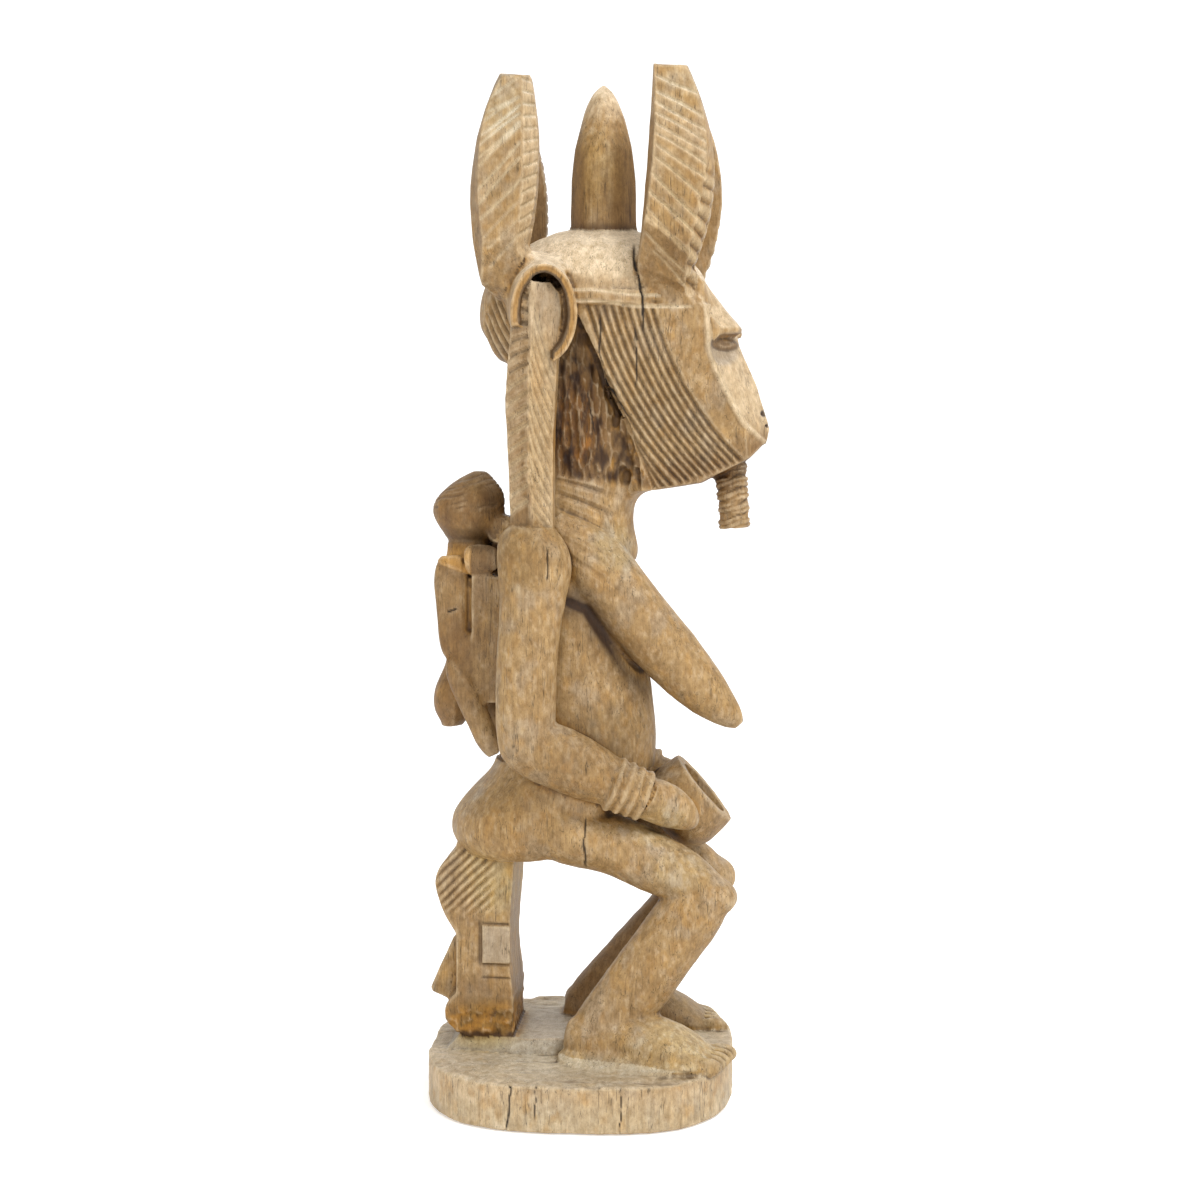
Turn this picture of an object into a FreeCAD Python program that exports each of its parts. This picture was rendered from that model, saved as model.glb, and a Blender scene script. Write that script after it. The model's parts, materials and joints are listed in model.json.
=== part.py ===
"""Seated maternity figure, carved from one log: a horned and braided woman on a stool holds a bowl in
her lap, and a child clings to her back. The carving is split at its carved boundaries into one solid
per named region. +Z is up, +X is the way the figure faces, +Y is its left, and the origin is the centre
of the base's underside. Every length is in millimetres."""

import FreeCAD
import Part

import math
import os

from FreeCAD import Placement, Rotation, Vector

OUT_DIR = "parts"
UP = Vector(0, 0, 1)
ACROSS = Vector(0, 1, 0)

# The driving dimensions. A landmark of a limb is three of them: _x, _y and _z. The two legs and the two
# breasts differ a little, as carved; the arms, braids and back of the head are mirror images.
SIZES = {
    "base_radius": 135.5, "base_squareness": 2.8, "base_height": 40, "base_edge": 3,
    "plinth_height": 11,
    "stool_front": -58, "stool_back": -109, "stool_width": 80, "stool_waist": 3, "stool_top": 209,
    "roll_width": 79, "tail_width": 26, "patch_size": 25, "patch_depth": 2.5,
    "pelvis_depth": 74, "pelvis_width": 76,
    "right_hip_x": -66, "right_hip_y": -40, "right_hip_z": 252,
    "right_knee_x": 117, "right_knee_y": -53, "right_knee_z": 190,
    "right_shin_top_x": 121, "right_shin_top_y": -53, "right_shin_top_z": 197,
    "right_ankle_x": 26, "right_ankle_y": -52, "right_ankle_z": 66,
    "right_heel_x": -4, "right_heel_y": -51, "right_heel_z": 60,
    "right_toe_x": 118, "right_toe_y": -72, "right_toe_z": 50,
    "left_hip_x": -66, "left_hip_y": 40, "left_hip_z": 252,
    "left_knee_x": 117, "left_knee_y": 51, "left_knee_z": 183,
    "left_shin_top_x": 125, "left_shin_top_y": 51, "left_shin_top_z": 188,
    "left_ankle_x": 16, "left_ankle_y": 50, "left_ankle_z": 66,
    "left_heel_x": -16, "left_heel_y": 49, "left_heel_z": 58,
    "left_toe_x": 110, "left_toe_y": 54, "left_toe_z": 47,
    "thigh_depth": 29, "thigh_width": 33, "shin_depth": 29, "shin_width": 26,
    "foot_height": 24, "foot_width": 28, "toe_length": 14, "toe_pitch": 10,
    "waist_z": 285, "torso_depth": 66, "torso_width": 56,
    "right_breast_x": 6, "right_breast_y": -30, "right_breast_z": 468,
    "right_nipple_x": 141, "right_nipple_y": -34, "right_nipple_z": 327,
    "left_breast_x": 2, "left_breast_y": 30, "left_breast_z": 464,
    "left_nipple_x": 133, "left_nipple_y": 33, "left_nipple_z": 328,
    "breast_depth": 29, "breast_width": 27,
    "shoulder_x": -37, "shoulder_y": -76, "shoulder_z": 501, "elbow_x": -43, "elbow_y": -80, "elbow_z": 312,
    "arm_depth": 27, "arm_width": 23,
    "wrist_x": 60, "wrist_y": -66, "wrist_z": 269, "forearm_depth": 27, "forearm_width": 21,
    "finger_x": 104, "finger_y": -42, "finger_z": 243, "hand_depth": 18, "hand_width": 11,
    "bracelet_radius": 19.5, "bracelet_thickness": 3.3, "bracelet_pitch": 8.8,
    "bowl_x": 110, "bowl_z": 267, "bowl_tilt": 49.6, "bowl_rim": 37, "bowl_belly": 39.5, "bowl_length": 52,
    "bowl_hollow": 36, "bowl_wall": 10.5,
    "neck_z": 470, "neck_depth": 58, "neck_width": 46,
    "head_x": 15, "cap_z": 700, "cap_length": 100, "cap_width": 67, "cap_height": 70,
    "band_z": 694, "band_height": 12, "band_proud": 1.5, "jaw_z": 531, "cheek_width": 66,
    "nape_x": -35, "nape_z": 692, "nape_length": 58, "nape_width": 57, "nape_height": 58,
    "eye_x": 119, "eye_inside": 8, "eye_width": 44, "eye_z": 672,
    "beard_x": 132, "beard_z": 570, "beard_tilt": -4, "beard_length": 72, "beard_radius": 15,
    "hood_x": -25, "hood_y": -92, "hood_z": 683, "hood_rise": 43, "hood_width": 29, "hood_wall": 8.5,
    "hood_length": 54, "hood_depth": 28, "braid_y": -62, "braid_foot_z": 501, "braid_top_z": 711,
    "braid_thickness": 21,
    "braid_ridge": 7, "crest_inside": 54, "crest_thickness": 32, "left_front_crest_ahead": 5,
    "horn_x": 19, "horn_radius": 30, "horn_height": 136, "horn_base": 762,
    "child_head_z": 487, "child_head_length": 32, "child_head_width": 30, "child_width": 27,
    "child_arm_y": -29,
    "cloth_back": -95, "cloth_front": -66, "cloth_foot_z": 345, "cloth_height": 112, "cloth_width": 84,
}

doc = FreeCAD.newDocument("maternity_figure")
sheet = doc.addObject("Spreadsheet::Sheet", "sizes")
for row, (alias, size) in enumerate(SIZES.items(), start=1):
    sheet.set(f"A{row}", alias)
    sheet.set(f"B{row}", str(size))
    sheet.setAlias(f"B{row}", alias)
doc.recompute()

nodes = {}


# ---------------------------------------------------------------- helpers

def value(alias):
    return float(sheet.get(alias))


def bind(obj, **expressions):
    """Drives properties of obj from the sheet. A double underscore in a name stands for a dot."""
    for name, text in expressions.items():
        obj.setExpression(name.replace("__", "."), text)
    return obj


def bind_base(obj, centre):
    """Drives the position of obj, from expressions for x, y and z."""
    return bind(obj, Placement__Base__x=centre[0], Placement__Base__y=centre[1], Placement__Base__z=centre[2])


def keep(obj, label):
    """obj is the finished sub-part named label."""
    obj.Label = label
    nodes[label] = obj
    return obj


def name_of(label):
    return "".join(word.capitalize() for word in label.split("_"))


def fitted(label, blank, *neighbours):
    """The sub-part left of a blank once the finished sub-parts named neighbours are taken out of it."""
    tool = nodes[neighbours[0]]
    if len(neighbours) > 1:
        tool = doc.addObject("Part::Compound", name_of(label) + "Neighbours")
        tool.Links = [nodes[neighbour] for neighbour in neighbours]
    cut = doc.addObject("Part::Cut", name_of(label))
    cut.Base = blank
    cut.Tool = tool
    cut.Refine = False
    doc.recompute()
    return keep(cut, label)


def mirrored(name):
    """The left-hand twin of the right-hand sub-part called right_name."""
    twin = doc.addObject("Part::Mirroring", name_of("left_" + name))
    twin.Source = nodes["right_" + name]
    twin.Base = Vector(0, 0, 0)
    twin.Normal = ACROSS
    doc.recompute()
    keep(twin, "left_" + name)


def ahead_of(along):
    """The direction square to along, in the fore-and-aft plane, that points forwards or upwards."""
    ahead = ACROSS.cross(along).normalize()
    return ahead if ahead.x + ahead.z > 0 else ahead * -1


def oval(name, centre, along, deep, wide, broad):
    """An elliptical section square to along. deep is its radius ahead and wide its radius across, as
    expressions; a broad section is at least as wide as it is deep, any other at least as deep as wide."""
    ring = doc.addObject("Part::Ellipse", name)
    ahead = ahead_of(along)
    longer = along.cross(ahead) if broad else ahead
    ring.Placement = Placement(Vector(), Rotation(longer, Vector(), along, "ZXY"))
    bind(ring, MajorRadius=wide if broad else deep, MinorRadius=deep if broad else wide)
    return bind_base(ring, centre)


def loft(name, sections, ruled=False):
    body = doc.addObject("Part::Loft", name)
    body.Sections = sections
    body.Solid = True
    body.Ruled = ruled
    doc.recompute()
    return body


def limb(name, start, end, depth, width, stations, broad=False):
    """A rounded limb between two landmarks. A station is its share of the way, its offset ahead, and its
    shares of the depth and the width."""
    first, last = (Vector(*(value(f"{mark}_{axis}") for axis in "xyz")) for mark in (start, end))
    along = (last - first).normalize()
    ahead = ahead_of(along)
    rings = []
    for number, (share, forward, deep, wide) in enumerate(stations):
        centre = []
        for axis, offset in zip("xyz", ahead * forward):
            reach = f"{share} * (sizes.{end}_{axis} - sizes.{start}_{axis})"
            centre.append(f"sizes.{start}_{axis} + {reach} + {offset:.3f}")
        rings.append(oval(f"{name}Ring{number}", centre, along,
                          f"sizes.{depth} * {deep}", f"sizes.{width} * {wide}", broad))
    return loft(name, rings)


def stack(name, foot, depth, width, stations, broad=False):
    """A trunk of level ovals. A station is its height above foot, its centre's x, and its shares of the
    depth and the width."""
    rings = []
    for number, (height, middle, deep, wide) in enumerate(stations):
        rings.append(oval(f"{name}Ring{number}", [str(middle), "0", f"sizes.{foot} + {height}"], UP,
                          f"sizes.{depth} * {deep}", f"sizes.{width} * {wide}", broad))
    return loft(name, rings)


def ellipsoid(name, centre, radii):
    """centre and radii are expressions for x, y and z."""
    ball = doc.addObject("Part::Ellipsoid", name)
    bind(ball, Radius2=radii[0], Radius3=radii[1], Radius1=radii[2])
    return bind_base(ball, centre)


def block(name, corner, size):
    """A box whose low corner and size are expressions."""
    box = doc.addObject("Part::Box", name)
    bind(box, Length=size[0], Width=size[1], Height=size[2])
    return bind_base(box, corner)


def group(name, pieces):
    """Separate solids that make one sub-part."""
    union = doc.addObject("Part::MultiFuse", name)
    union.Shapes = pieces
    union.Refine = False
    doc.recompute()
    return union


def origin_plane(body, role):
    return next(feature for feature in body.Origin.OriginFeatures if feature.Role == role)


def add_outline(sketch, points, corners):
    """Draws a closed outline. corners holds the indices of the points where one edge ends and the next
    begins; an edge with points between its corners is a smooth curve through them, and any other is
    straight."""
    for first, last in zip(corners, corners[1:] + [len(points)]):
        run = [Vector(*points[i % len(points)], 0) for i in range(first, last + 1)]
        edge = Part.LineSegment(*run) if len(run) == 2 else Part.BSplineCurve()
        if len(run) > 2:
            edge.interpolate(run)
        sketch.addGeometry(edge, False)


def side_sketch(body, name, points, corners):
    """A closed outline of (x, z) points in the body's own fore-and-aft plane."""
    sketch = body.newObject("Sketcher::SketchObject", name)
    sketch.AttachmentSupport = [(origin_plane(body, "XZ_Plane"), "")]
    sketch.MapMode = "FlatFace"
    add_outline(sketch, points, corners)
    return sketch


def side_slab(name, points, corners, width):
    """A solid with a side outline, padded evenly to both sides of the middle of the figure."""
    body = doc.addObject("PartDesign::Body", name)
    sketch = side_sketch(body, name + "Side", points, corners)
    pad = body.newObject("PartDesign::Pad", name + "Pad")
    pad.Profile = sketch
    pad.Midplane = True
    bind(pad, Length=width)
    body.Tip = pad
    doc.recompute()
    return body


def turned(name, points, corners, centre, tilt="0"):
    """A solid of revolution about its own Z, from a half outline of (radius, height) points, leaned
    forwards by tilt degrees and set at centre."""
    body = doc.addObject("PartDesign::Body", name)
    sketch = side_sketch(body, name + "Half", points, corners)
    turn = body.newObject("PartDesign::Revolution", name + "Turn")
    turn.Profile = sketch
    turn.ReferenceAxis = (sketch, ["V_Axis"])
    turn.Angle = 360
    body.Tip = turn
    body.Placement = Placement(Vector(), Rotation(ACROSS, 1))
    bind(body, Placement__Rotation__Angle=tilt)
    bind_base(body, centre)
    doc.recompute()
    return body


def section(name, base, turn, points, corners):
    """A free closed outline, as a section for a loft: turned about X by turn degrees and set at base."""
    sketch = doc.addObject("Sketcher::SketchObject", name)
    sketch.Placement = Placement(Vector(), Rotation(Vector(1, 0, 0), turn))
    add_outline(sketch, points, corners)
    return bind_base(sketch, base)


def level_loft(name, levels):
    """A faceted solid through level polygons. A level is its height, as an expression, and its (x, y)
    points."""
    rings = []
    for number, (height, points) in enumerate(levels):
        base = ["0", "0", height]
        rings.append(section(f"{name}Level{number}", base, 0, points, list(range(len(points)))))
    return loft(name, rings, ruled=True)


# ---------------------------------------------------------------- base and stool

def make_base():
    """The foot that is left of the log: round, a little squared."""
    radius, power = value("base_radius"), value("base_squareness")
    rim = []
    for number in range(32):
        angle = 2 * math.pi * number / 32
        reach = radius / (abs(math.cos(angle)) ** power + abs(math.sin(angle)) ** power) ** (1 / power)
        rim.append(Vector(reach * math.cos(angle), reach * math.sin(angle), 0))
    edge = Part.BSplineCurve()
    edge.interpolate(rim, PeriodicFlag=True)
    body = doc.addObject("PartDesign::Body", "Base")
    sketch = body.newObject("Sketcher::SketchObject", "BaseRim")
    sketch.AttachmentSupport = [(origin_plane(body, "XY_Plane"), "")]
    sketch.MapMode = "FlatFace"
    sketch.addGeometry(edge, False)
    disc = body.newObject("PartDesign::Pad", "BaseDisc")
    disc.Profile = sketch
    bind(disc, Length="sizes.base_height")
    body.Tip = disc
    doc.recompute()
    rims = [f"Edge{i}" for i, edge in enumerate(disc.Shape.Edges, start=1) if edge.isClosed()]
    worn = body.newObject("PartDesign::Chamfer", "BaseWornEdges")
    worn.Base = (disc, rims)
    bind(worn, Size="sizes.base_edge")
    body.Tip = worn
    doc.recompute()
    keep(body, "base")


def make_stool():
    """A waisted post with a striated roll behind its top, a fin behind its middle and a lobed foot, on a
    raised spine of the base."""
    floor, top = value("base_height"), value("stool_top")
    front, back = value("stool_front"), value("stool_back")
    waist = front - value("stool_waist")
    step = floor + value("plinth_height")
    keep(level_loft("StoolPlinth", [
        ("sizes.base_height", [(-118, -42), (-60, -50), (0, -52), (39, -46), (45, 20), (32, 60), (-60, 66),
                               (-115, 46)]),
        ("sizes.base_height + sizes.plinth_height", [(-106, -36), (-60, -42), (-4, -41), (23, -34), (30, 20),
                                                     (15, 55), (-60, 61), (-106, 40)])]),
         "stool_plinth")
    keep(side_slab("StoolFoot",
                   [(back + 8, step), (front + 1, step), (front + 1, step + 35), (back + 4, step + 39),
                    (back - 5, step + 33), (back - 10, step + 24), (back - 10, step + 16),
                    (back - 4, step + 6)],
                   [0, 1, 2, 3], "sizes.stool_width + 1"), "stool_foot")
    post = side_slab("StoolPostBlank",
                     [(back, step + 20), (front - 1, step + 20), (front, step + 36), (waist, floor + 76),
                      (waist + 1, floor + 118), (front + 1, top + 12), (back, top + 12)],
                     [0, 1, 5, 6], "sizes.stool_width")
    fitted("stool_post", post, "stool_foot", "pelvis")
    roll = side_slab("StoolRollBlank",
                     [(back + 18, step + 75), (back + 22, top + 10), (back - 1, top + 6), (back - 9, top - 2),
                      (back - 17, top - 14), (back - 19, top - 24), (back - 17, top - 34),
                      (back - 11, top - 50), (back - 1, top - 67), (back + 6, top - 78)],
                     [0, 1, 2, 8, 9], "sizes.roll_width")
    fitted("stool_roll", roll, "stool_post", "pelvis")
    tail = side_slab("StoolTailBlank",
                     [(back + 10, floor + 96), (back - 6, floor + 92), (back - 27, floor + 46),
                      (back - 26, floor + 42), (back - 8, floor + 34), (back + 10, floor + 28)],
                     [0, 1, 2, 3, 4, 5], "sizes.tail_width")
    fitted("stool_tail", tail, "stool_post", "stool_foot", "stool_roll")
    patch = block("StoolPatchBlank",
                  ["sizes.stool_front - 27", "-sizes.stool_width / 2 - sizes.patch_depth",
                   "sizes.base_height + 76"],
                  ["sizes.patch_size", "sizes.patch_depth * 3", "sizes.patch_size * 1.3"])
    fitted("stool_patch", patch, "stool_post")


# ---------------------------------------------------------------- seat and legs

def make_pelvis():
    """The broad seat, flat where it rests on the stool."""
    pelvis = stack("Pelvis", "stool_top", "pelvis_depth", "pelvis_width",
                   [(0, -54, 0.6, 0.8), (13, -49, 0.9, 0.95), (31, -43, 1, 1), (53, -31, 0.97, 0.98),
                    (76, -15, 0.9, 0.93), (84, -13, 0.88, 0.9)], broad=True)
    keep(pelvis, "pelvis")


def make_leg(side):
    """A thigh that runs level to the knee, a shin that slopes back, and a broad foot that turns out."""
    name = side.capitalize()
    outwards = -1 if side == "right" else 1
    thigh = limb(f"{name}ThighBlank", f"{side}_hip", f"{side}_knee", "thigh_depth", "thigh_width",
                 [(0.1, 1, 0.8, 0.8), (0.28, 3, 1, 1), (0.51, 4, 0.91, 0.92), (0.71, 2, 0.91, 0.84),
                  (0.9, -1, 0.76, 0.76), (1, -4, 0.6, 0.64), (1.06, -8, 0.44, 0.5), (1.1, -11, 0.2, 0.24)],
                 broad=True)
    fitted(f"{side}_thigh", thigh, "pelvis")
    shin = limb(f"{name}ShinBlank", f"{side}_shin_top", f"{side}_ankle", "shin_depth", "shin_width",
                [(0.06, 0, 0.66, 0.66), (0.14, 0, 0.9, 0.9), (0.3, 0, 1, 1), (0.6, 0, 1, 0.94),
                 (0.85, 0, 1, 0.9), (1.02, 0, 0.98, 0.88), (1.17, 1, 0.92, 0.84)])
    fitted(f"{side}_shin", shin, f"{side}_thigh", "base", "stool_plinth")
    foot = limb(f"{name}FootBlank", f"{side}_heel", f"{side}_toe", "foot_height", "foot_width",
                [(-0.04, -4, 0.5, 0.5), (0.06, -3, 0.84, 0.76), (0.25, -2, 0.98, 0.86), (0.48, 2, 1, 0.98),
                 (0.68, 0, 0.94, 1.06), (0.84, -2, 0.7, 1.06), (0.97, -5, 0.42, 0.98), (1.03, -7, 0.22, 0.8)],
                broad=True)
    fitted(f"{side}_foot", foot, f"{side}_shin", "base", "stool_plinth")
    toes = []
    for number in range(5):
        spread = (number - 2) * outwards
        toes.append(ellipsoid(f"{name}Toe{number + 1}",
                              [f"sizes.{side}_toe_x + 1 - sizes.toe_pitch * {0.3 * (number - 2):.2f}",
                               f"sizes.{side}_toe_y + sizes.toe_pitch * {spread}", f"sizes.{side}_toe_z - 5"],
                              ["sizes.toe_length", "sizes.toe_pitch * 0.5", "sizes.toe_length * 0.62"]))
    fitted(f"{side}_toes", group(f"{name}ToesBlank", toes), f"{side}_foot", "base")


# ---------------------------------------------------------------- trunk, arms and bowl

def make_trunk():
    """The upright torso, with long breasts that point forwards and down."""
    torso = stack("TorsoBlank", "waist_z", "torso_depth", "torso_width",
                  [(0, -3, 1.02, 1.03), (60, -4, 1.03, 0.96), (135, -13, 0.97, 0.93), (185, -17, 0.9, 1),
                   (212, -15, 0.81, 0.94), (230, -10, 0.7, 0.81)])
    fitted("torso", torso, "pelvis")


def make_breast(side):
    blank = limb(f"{side.capitalize()}BreastBlank", f"{side}_breast", f"{side}_nipple", "breast_depth",
                 "breast_width",
                 [(-0.24, 1, 0.9, 0.9), (-0.1, 2, 1.08, 1.1), (0.1, 2, 1.12, 1.12), (0.3, 0, 1.03, 1.06),
                  (0.52, -1, 0.95, 1), (0.75, -2, 0.79, 0.82), (0.92, -1, 0.48, 0.5), (1, 0, 0.17, 0.17)])
    fitted(f"{side}_breast", blank, "torso", "neck")


def make_arms():
    """An upper arm with a flat-topped shoulder, a forearm on the thigh, four bracelets and a mitten hand."""
    upper = limb("RightUpperArmBlank", "shoulder", "elbow", "arm_depth", "arm_width",
                 [(0, 0, 0.74, 0.72), (0.05, 0, 1.02, 0.92), (0.16, 3, 1.2, 1.04), (0.3, 3, 1.1, 1),
                  (0.55, 0, 1, 0.96), (0.85, 0, 0.97, 0.96), (0.98, 1, 0.92, 0.92), (1.08, 2, 0.6, 0.6)])
    fitted("right_upper_arm", upper, "torso", "right_breast", "neck")
    forearm = limb("RightForearmBlank", "elbow", "wrist", "forearm_depth", "forearm_width",
                   [(-0.16, 4, 0.5, 0.6), (0, 2, 0.9, 0.96), (0.25, 3, 1.02, 1), (0.5, 2, 0.96, 0.98),
                    (0.75, 1, 0.76, 0.88), (1, 0, 0.66, 0.8)])
    fitted("right_forearm", forearm, "right_upper_arm", "torso", "pelvis", "right_thigh")
    hand = limb("RightHandBlank", "wrist", "finger", "hand_depth", "hand_width",
                [(0, 0, 0.98, 1.4), (0.3, 1, 1.1, 1.2), (0.6, 1, 0.95, 1), (0.88, 0, 0.6, 0.8),
                 (1, -1, 0.3, 0.4)])
    fitted("right_hand", hand, "right_forearm", "right_thigh", "pelvis", "torso")
    start, end = (Vector(*(value(f"{mark}_{axis}") for axis in "xyz")) for mark in ("elbow", "wrist"))
    along = (end - start).normalize()
    rings = []
    for number in range(4):
        ring = doc.addObject("Part::Torus", f"RightBracelet{number + 1}")
        ring.Placement = Placement(Vector(), Rotation(UP, along))
        bind(ring, Radius1=f"sizes.bracelet_radius + {0.6 * (3 - number)}",
             Radius2="sizes.bracelet_thickness")
        back = f"(2 + sizes.bracelet_pitch * {3 - number})"
        bind_base(ring, [f"sizes.wrist_{axis} - {back} * ({share:.4f})"
                         for axis, share in zip("xyz", along)])
        rings.append(ring)
    fitted("right_bracelets", group("RightBraceletsBlank", rings),
           "right_forearm", "right_hand", "torso", "pelvis", "right_thigh")
    for name in ("upper_arm", "forearm", "hand", "bracelets"):
        mirrored(name)


def make_bowl():
    """A round-bottomed bowl that leans forwards, hollow from its rim."""
    rim, belly = value("bowl_rim"), value("bowl_belly")
    length, hollow, wall = value("bowl_length"), value("bowl_hollow"), value("bowl_wall")
    blank = turned("BowlBlank",
                   [(0, -length), (0.6 * belly, -0.94 * length), (0.93 * belly, -0.72 * length),
                    (belly, -0.4 * length), (rim, 0),
                    (rim - wall, 0), (rim - wall, -0.5 * hollow), (0.6 * rim, -0.86 * hollow), (0, -hollow)],
                   [0, 4, 5, 8], ["sizes.bowl_x", "0", "sizes.bowl_z"], "sizes.bowl_tilt")
    fitted("bowl", blank, "torso", "pelvis", "right_thigh", "left_thigh", "right_hand", "left_hand",
           "right_forearm", "left_forearm", "right_bracelets", "left_bracelets")


# ---------------------------------------------------------------- head

def make_face():
    """A wedge-shaped mask that juts forwards from flat cheeks, over a jaw that slopes up to the lips."""
    plan = level_loft("FacePlan", [
        (height, [(-12, -cheek), (rim, -edge), (front, -9), (front, 9), (rim, edge), (-12, cheek)])
        for height, rim, front, edge, cheek in (
            ("sizes.band_z", 110, 128, 60, value("cheek_width")),
            ("sizes.band_z - 44", 118, 148, 56, value("cheek_width") - 2),
            ("sizes.band_z - 74", 130, 158, 50, value("cheek_width") - 6),
            ("sizes.band_z - 104", 146, 168, 40, value("cheek_width") - 12),
            ("sizes.jaw_z - 4", 150, 168, 30, value("cheek_width") - 24))])
    side = side_slab("FaceSide",
                     [(-4, 694), (18, 650), (45, 590), (52, 560), (55, 531), (107, 539), (137, 554),
                      (150, 561), (166, 577), (168, 588), (161, 613), (152, 636), (141, 661),
                      (138, 675), (128, 694)],
                     list(range(15)), "sizes.cheek_width * 3")
    face = doc.addObject("Part::Common", "Face")
    face.Base = plan
    face.Tool = side
    face.Refine = False
    doc.recompute()
    keep(face, "face")


def make_neck():
    blank = stack("NeckBlank", "neck_z", "neck_depth", "neck_width",
                  [(0, -10, 1, 1.12), (28, -8, 0.95, 1.06), (50, -6, 0.92, 0.98), (68, -2, 0.95, 0.96),
                   (90, 0, 0.98, 0.98), (170, -10, 1, 1), (224, -12, 1, 1.04)])
    fitted("neck", blank, "torso", "face")


def make_scalp():
    """The band round the brow, the domed cap above it and the hair that bulges over the nape below it."""
    ring = doc.addObject("Part::Ellipse", "HeadbandOval")
    bind(ring, MajorRadius="sizes.cap_length + sizes.band_proud",
         MinorRadius="sizes.cap_width + sizes.band_proud")
    bind_base(ring, ["sizes.head_x", "0", "sizes.band_z"])
    band = doc.addObject("Part::Extrusion", "Headband")
    band.Base = ring
    band.DirMode = "Custom"
    band.Dir = UP
    band.Solid = True
    bind(band, LengthFwd="sizes.band_height")
    doc.recompute()
    keep(band, "headband")
    cap = ellipsoid("Cap", ["sizes.head_x", "0", "sizes.cap_z"],
                    ["sizes.cap_length", "sizes.cap_width", "sizes.cap_height"])
    bind(cap, Angle1="asin((sizes.band_z + sizes.band_height - sizes.cap_z) / sizes.cap_height)")
    doc.recompute()
    keep(cap, "cap")
    nape = ellipsoid("NapeBlank", ["sizes.nape_x", "0", "sizes.nape_z"],
                     ["sizes.nape_length", "sizes.nape_width", "sizes.nape_height"])
    fitted("nape_hair", nape, "neck", "face", "headband", "cap")


def make_face_trim():
    """Eyelids like the peak of a cap, and a ringed beard that hangs under the chin."""
    lids = []
    for number, (share, reach, drop) in enumerate(((0, 7, 3), (0.3, 18, 0), (0.62, 15, 0), (1, 0, 2))):
        across = f"-(sizes.eye_inside + sizes.eye_width * {share})"
        base = ["sizes.eye_x", across, f"sizes.eye_z - {drop}"]
        lids.append(section(f"RightEyelidSide{number}", base, 90,
                            [(-12, -2), (1, -7), (reach + 6, -1.5), (reach + 7, 3), (reach - 9, 22),
                             (-8, 44)],
                            list(range(6))))
    fitted("right_eyelid", loft("RightEyelidBlank", lids, ruled=True), "face", "headband", "cap")
    mirrored("eyelid")
    radius, length = value("beard_radius"), value("beard_length")
    rings = 6
    points = [(0, 0), (0, -length)]
    for number in range(rings):
        low = -length + length * number / rings
        points += [(radius - 2, low), (radius, low + length * 0.25 / rings),
                   (radius, low + length * 0.75 / rings)]
    points.append((radius - 2, 0))
    blank = turned("BeardBlank", points, list(range(len(points))),
                   ["sizes.beard_x", "0", "sizes.beard_z"], "sizes.beard_tilt")
    fitted("beard", blank, "face")


def hood_tool(name, rise, across, depth):
    """An upright oval bar that runs in towards the head, to shape a hood with."""
    ring = doc.addObject("Part::Ellipse", name + "Oval")
    ring.Placement = Placement(Vector(), Rotation(UP, Vector(), ACROSS, "XZY"))
    bind(ring, MajorRadius=rise, MinorRadius=across)
    bind_base(ring, ["sizes.hood_x", "sizes.hood_y", "sizes.hood_z"])
    bar = doc.addObject("Part::Extrusion", name)
    bar.Base = ring
    bar.DirMode = "Custom"
    bar.Dir = Vector(-0.2, 0.9, 0.32).normalize()
    bar.Solid = True
    bind(bar, LengthFwd=depth)
    doc.recompute()
    return bar


def make_braids():
    """A braid that hangs down to the shoulder, and the hood that it comes out of, which stands out from the
    head: an arch, open below and behind."""
    inner = value("braid_y")
    outer = inner - value("braid_thickness")
    ridge = outer - value("braid_ridge")
    blank = level_loft("RightBraidBlank", [
        (height, [(back, inner), (back, outer), (-36, ridge), (front, outer), (front, inner)])
        for height, back, front in (("sizes.braid_foot_z", -55, -18), ("sizes.braid_foot_z + 75", -58, -18),
                                    ("sizes.braid_foot_z + 110", -60, -16),
                                    ("sizes.braid_foot_z + 152", -57, -14),
                                    ("sizes.braid_top_z - 28", -54, -11),
                                    ("sizes.braid_top_z - 10", -49, -12), ("sizes.braid_top_z", -40, -20))])
    fitted("right_braid", blank, "right_upper_arm", "neck", "nape_hair", "headband", "face", "cap", "torso")
    outside = hood_tool("RightHoodOutside", "sizes.hood_rise", "sizes.hood_width", "sizes.hood_length")
    wall = "sizes.hood_wall"
    inside = hood_tool("RightHoodInside", f"sizes.hood_rise - {wall}", f"sizes.hood_width - {wall}",
                       "sizes.hood_depth")
    below = block("RightHoodBelow", ["sizes.hood_x - 45", "sizes.hood_y - 10", "sizes.hood_z - 60"],
                  ["52", "40", "50"])
    hollow = doc.addObject("Part::Cut", "RightHoodBlank")
    hollow.Base = outside
    hollow.Tool = group("RightHoodOpening", [inside, below])
    doc.recompute()
    fitted("right_hair_tube", hollow, "cap", "headband", "face", "neck", "nape_hair", "right_braid")
    mirrored("hair_tube")
    mirrored("braid")


def make_crest(side, name, ahead, inside, middle, outside):
    """A leaf-shaped upright plate, from its outlines at its inner face, at the middle of its thickness and at
    its outer face, moved ahead by an expression."""
    label = f"{side}_{name}"
    outwards = "-" if side == "right" else ""
    sections = []
    for number, points in enumerate((inside, middle, outside)):
        across = f"{outwards}(sizes.crest_inside + sizes.crest_thickness * {number / 2})"
        sections.append(section(f"{name_of(label)}Side{number}", [ahead, across, "0"], 90, points,
                                [0, 4, 5, 7]))
    blank = loft(name_of(label) + "Blank", sections, ruled=True)
    fitted(label, blank, "cap", "headband", "face", f"{side}_hair_tube", "nape_hair", "neck",
           f"{side}_braid")


def raised(outline, front, back):
    """The outline with the two ends of its foot moved."""
    return [front] + outline[1:-1] + [back]


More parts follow.
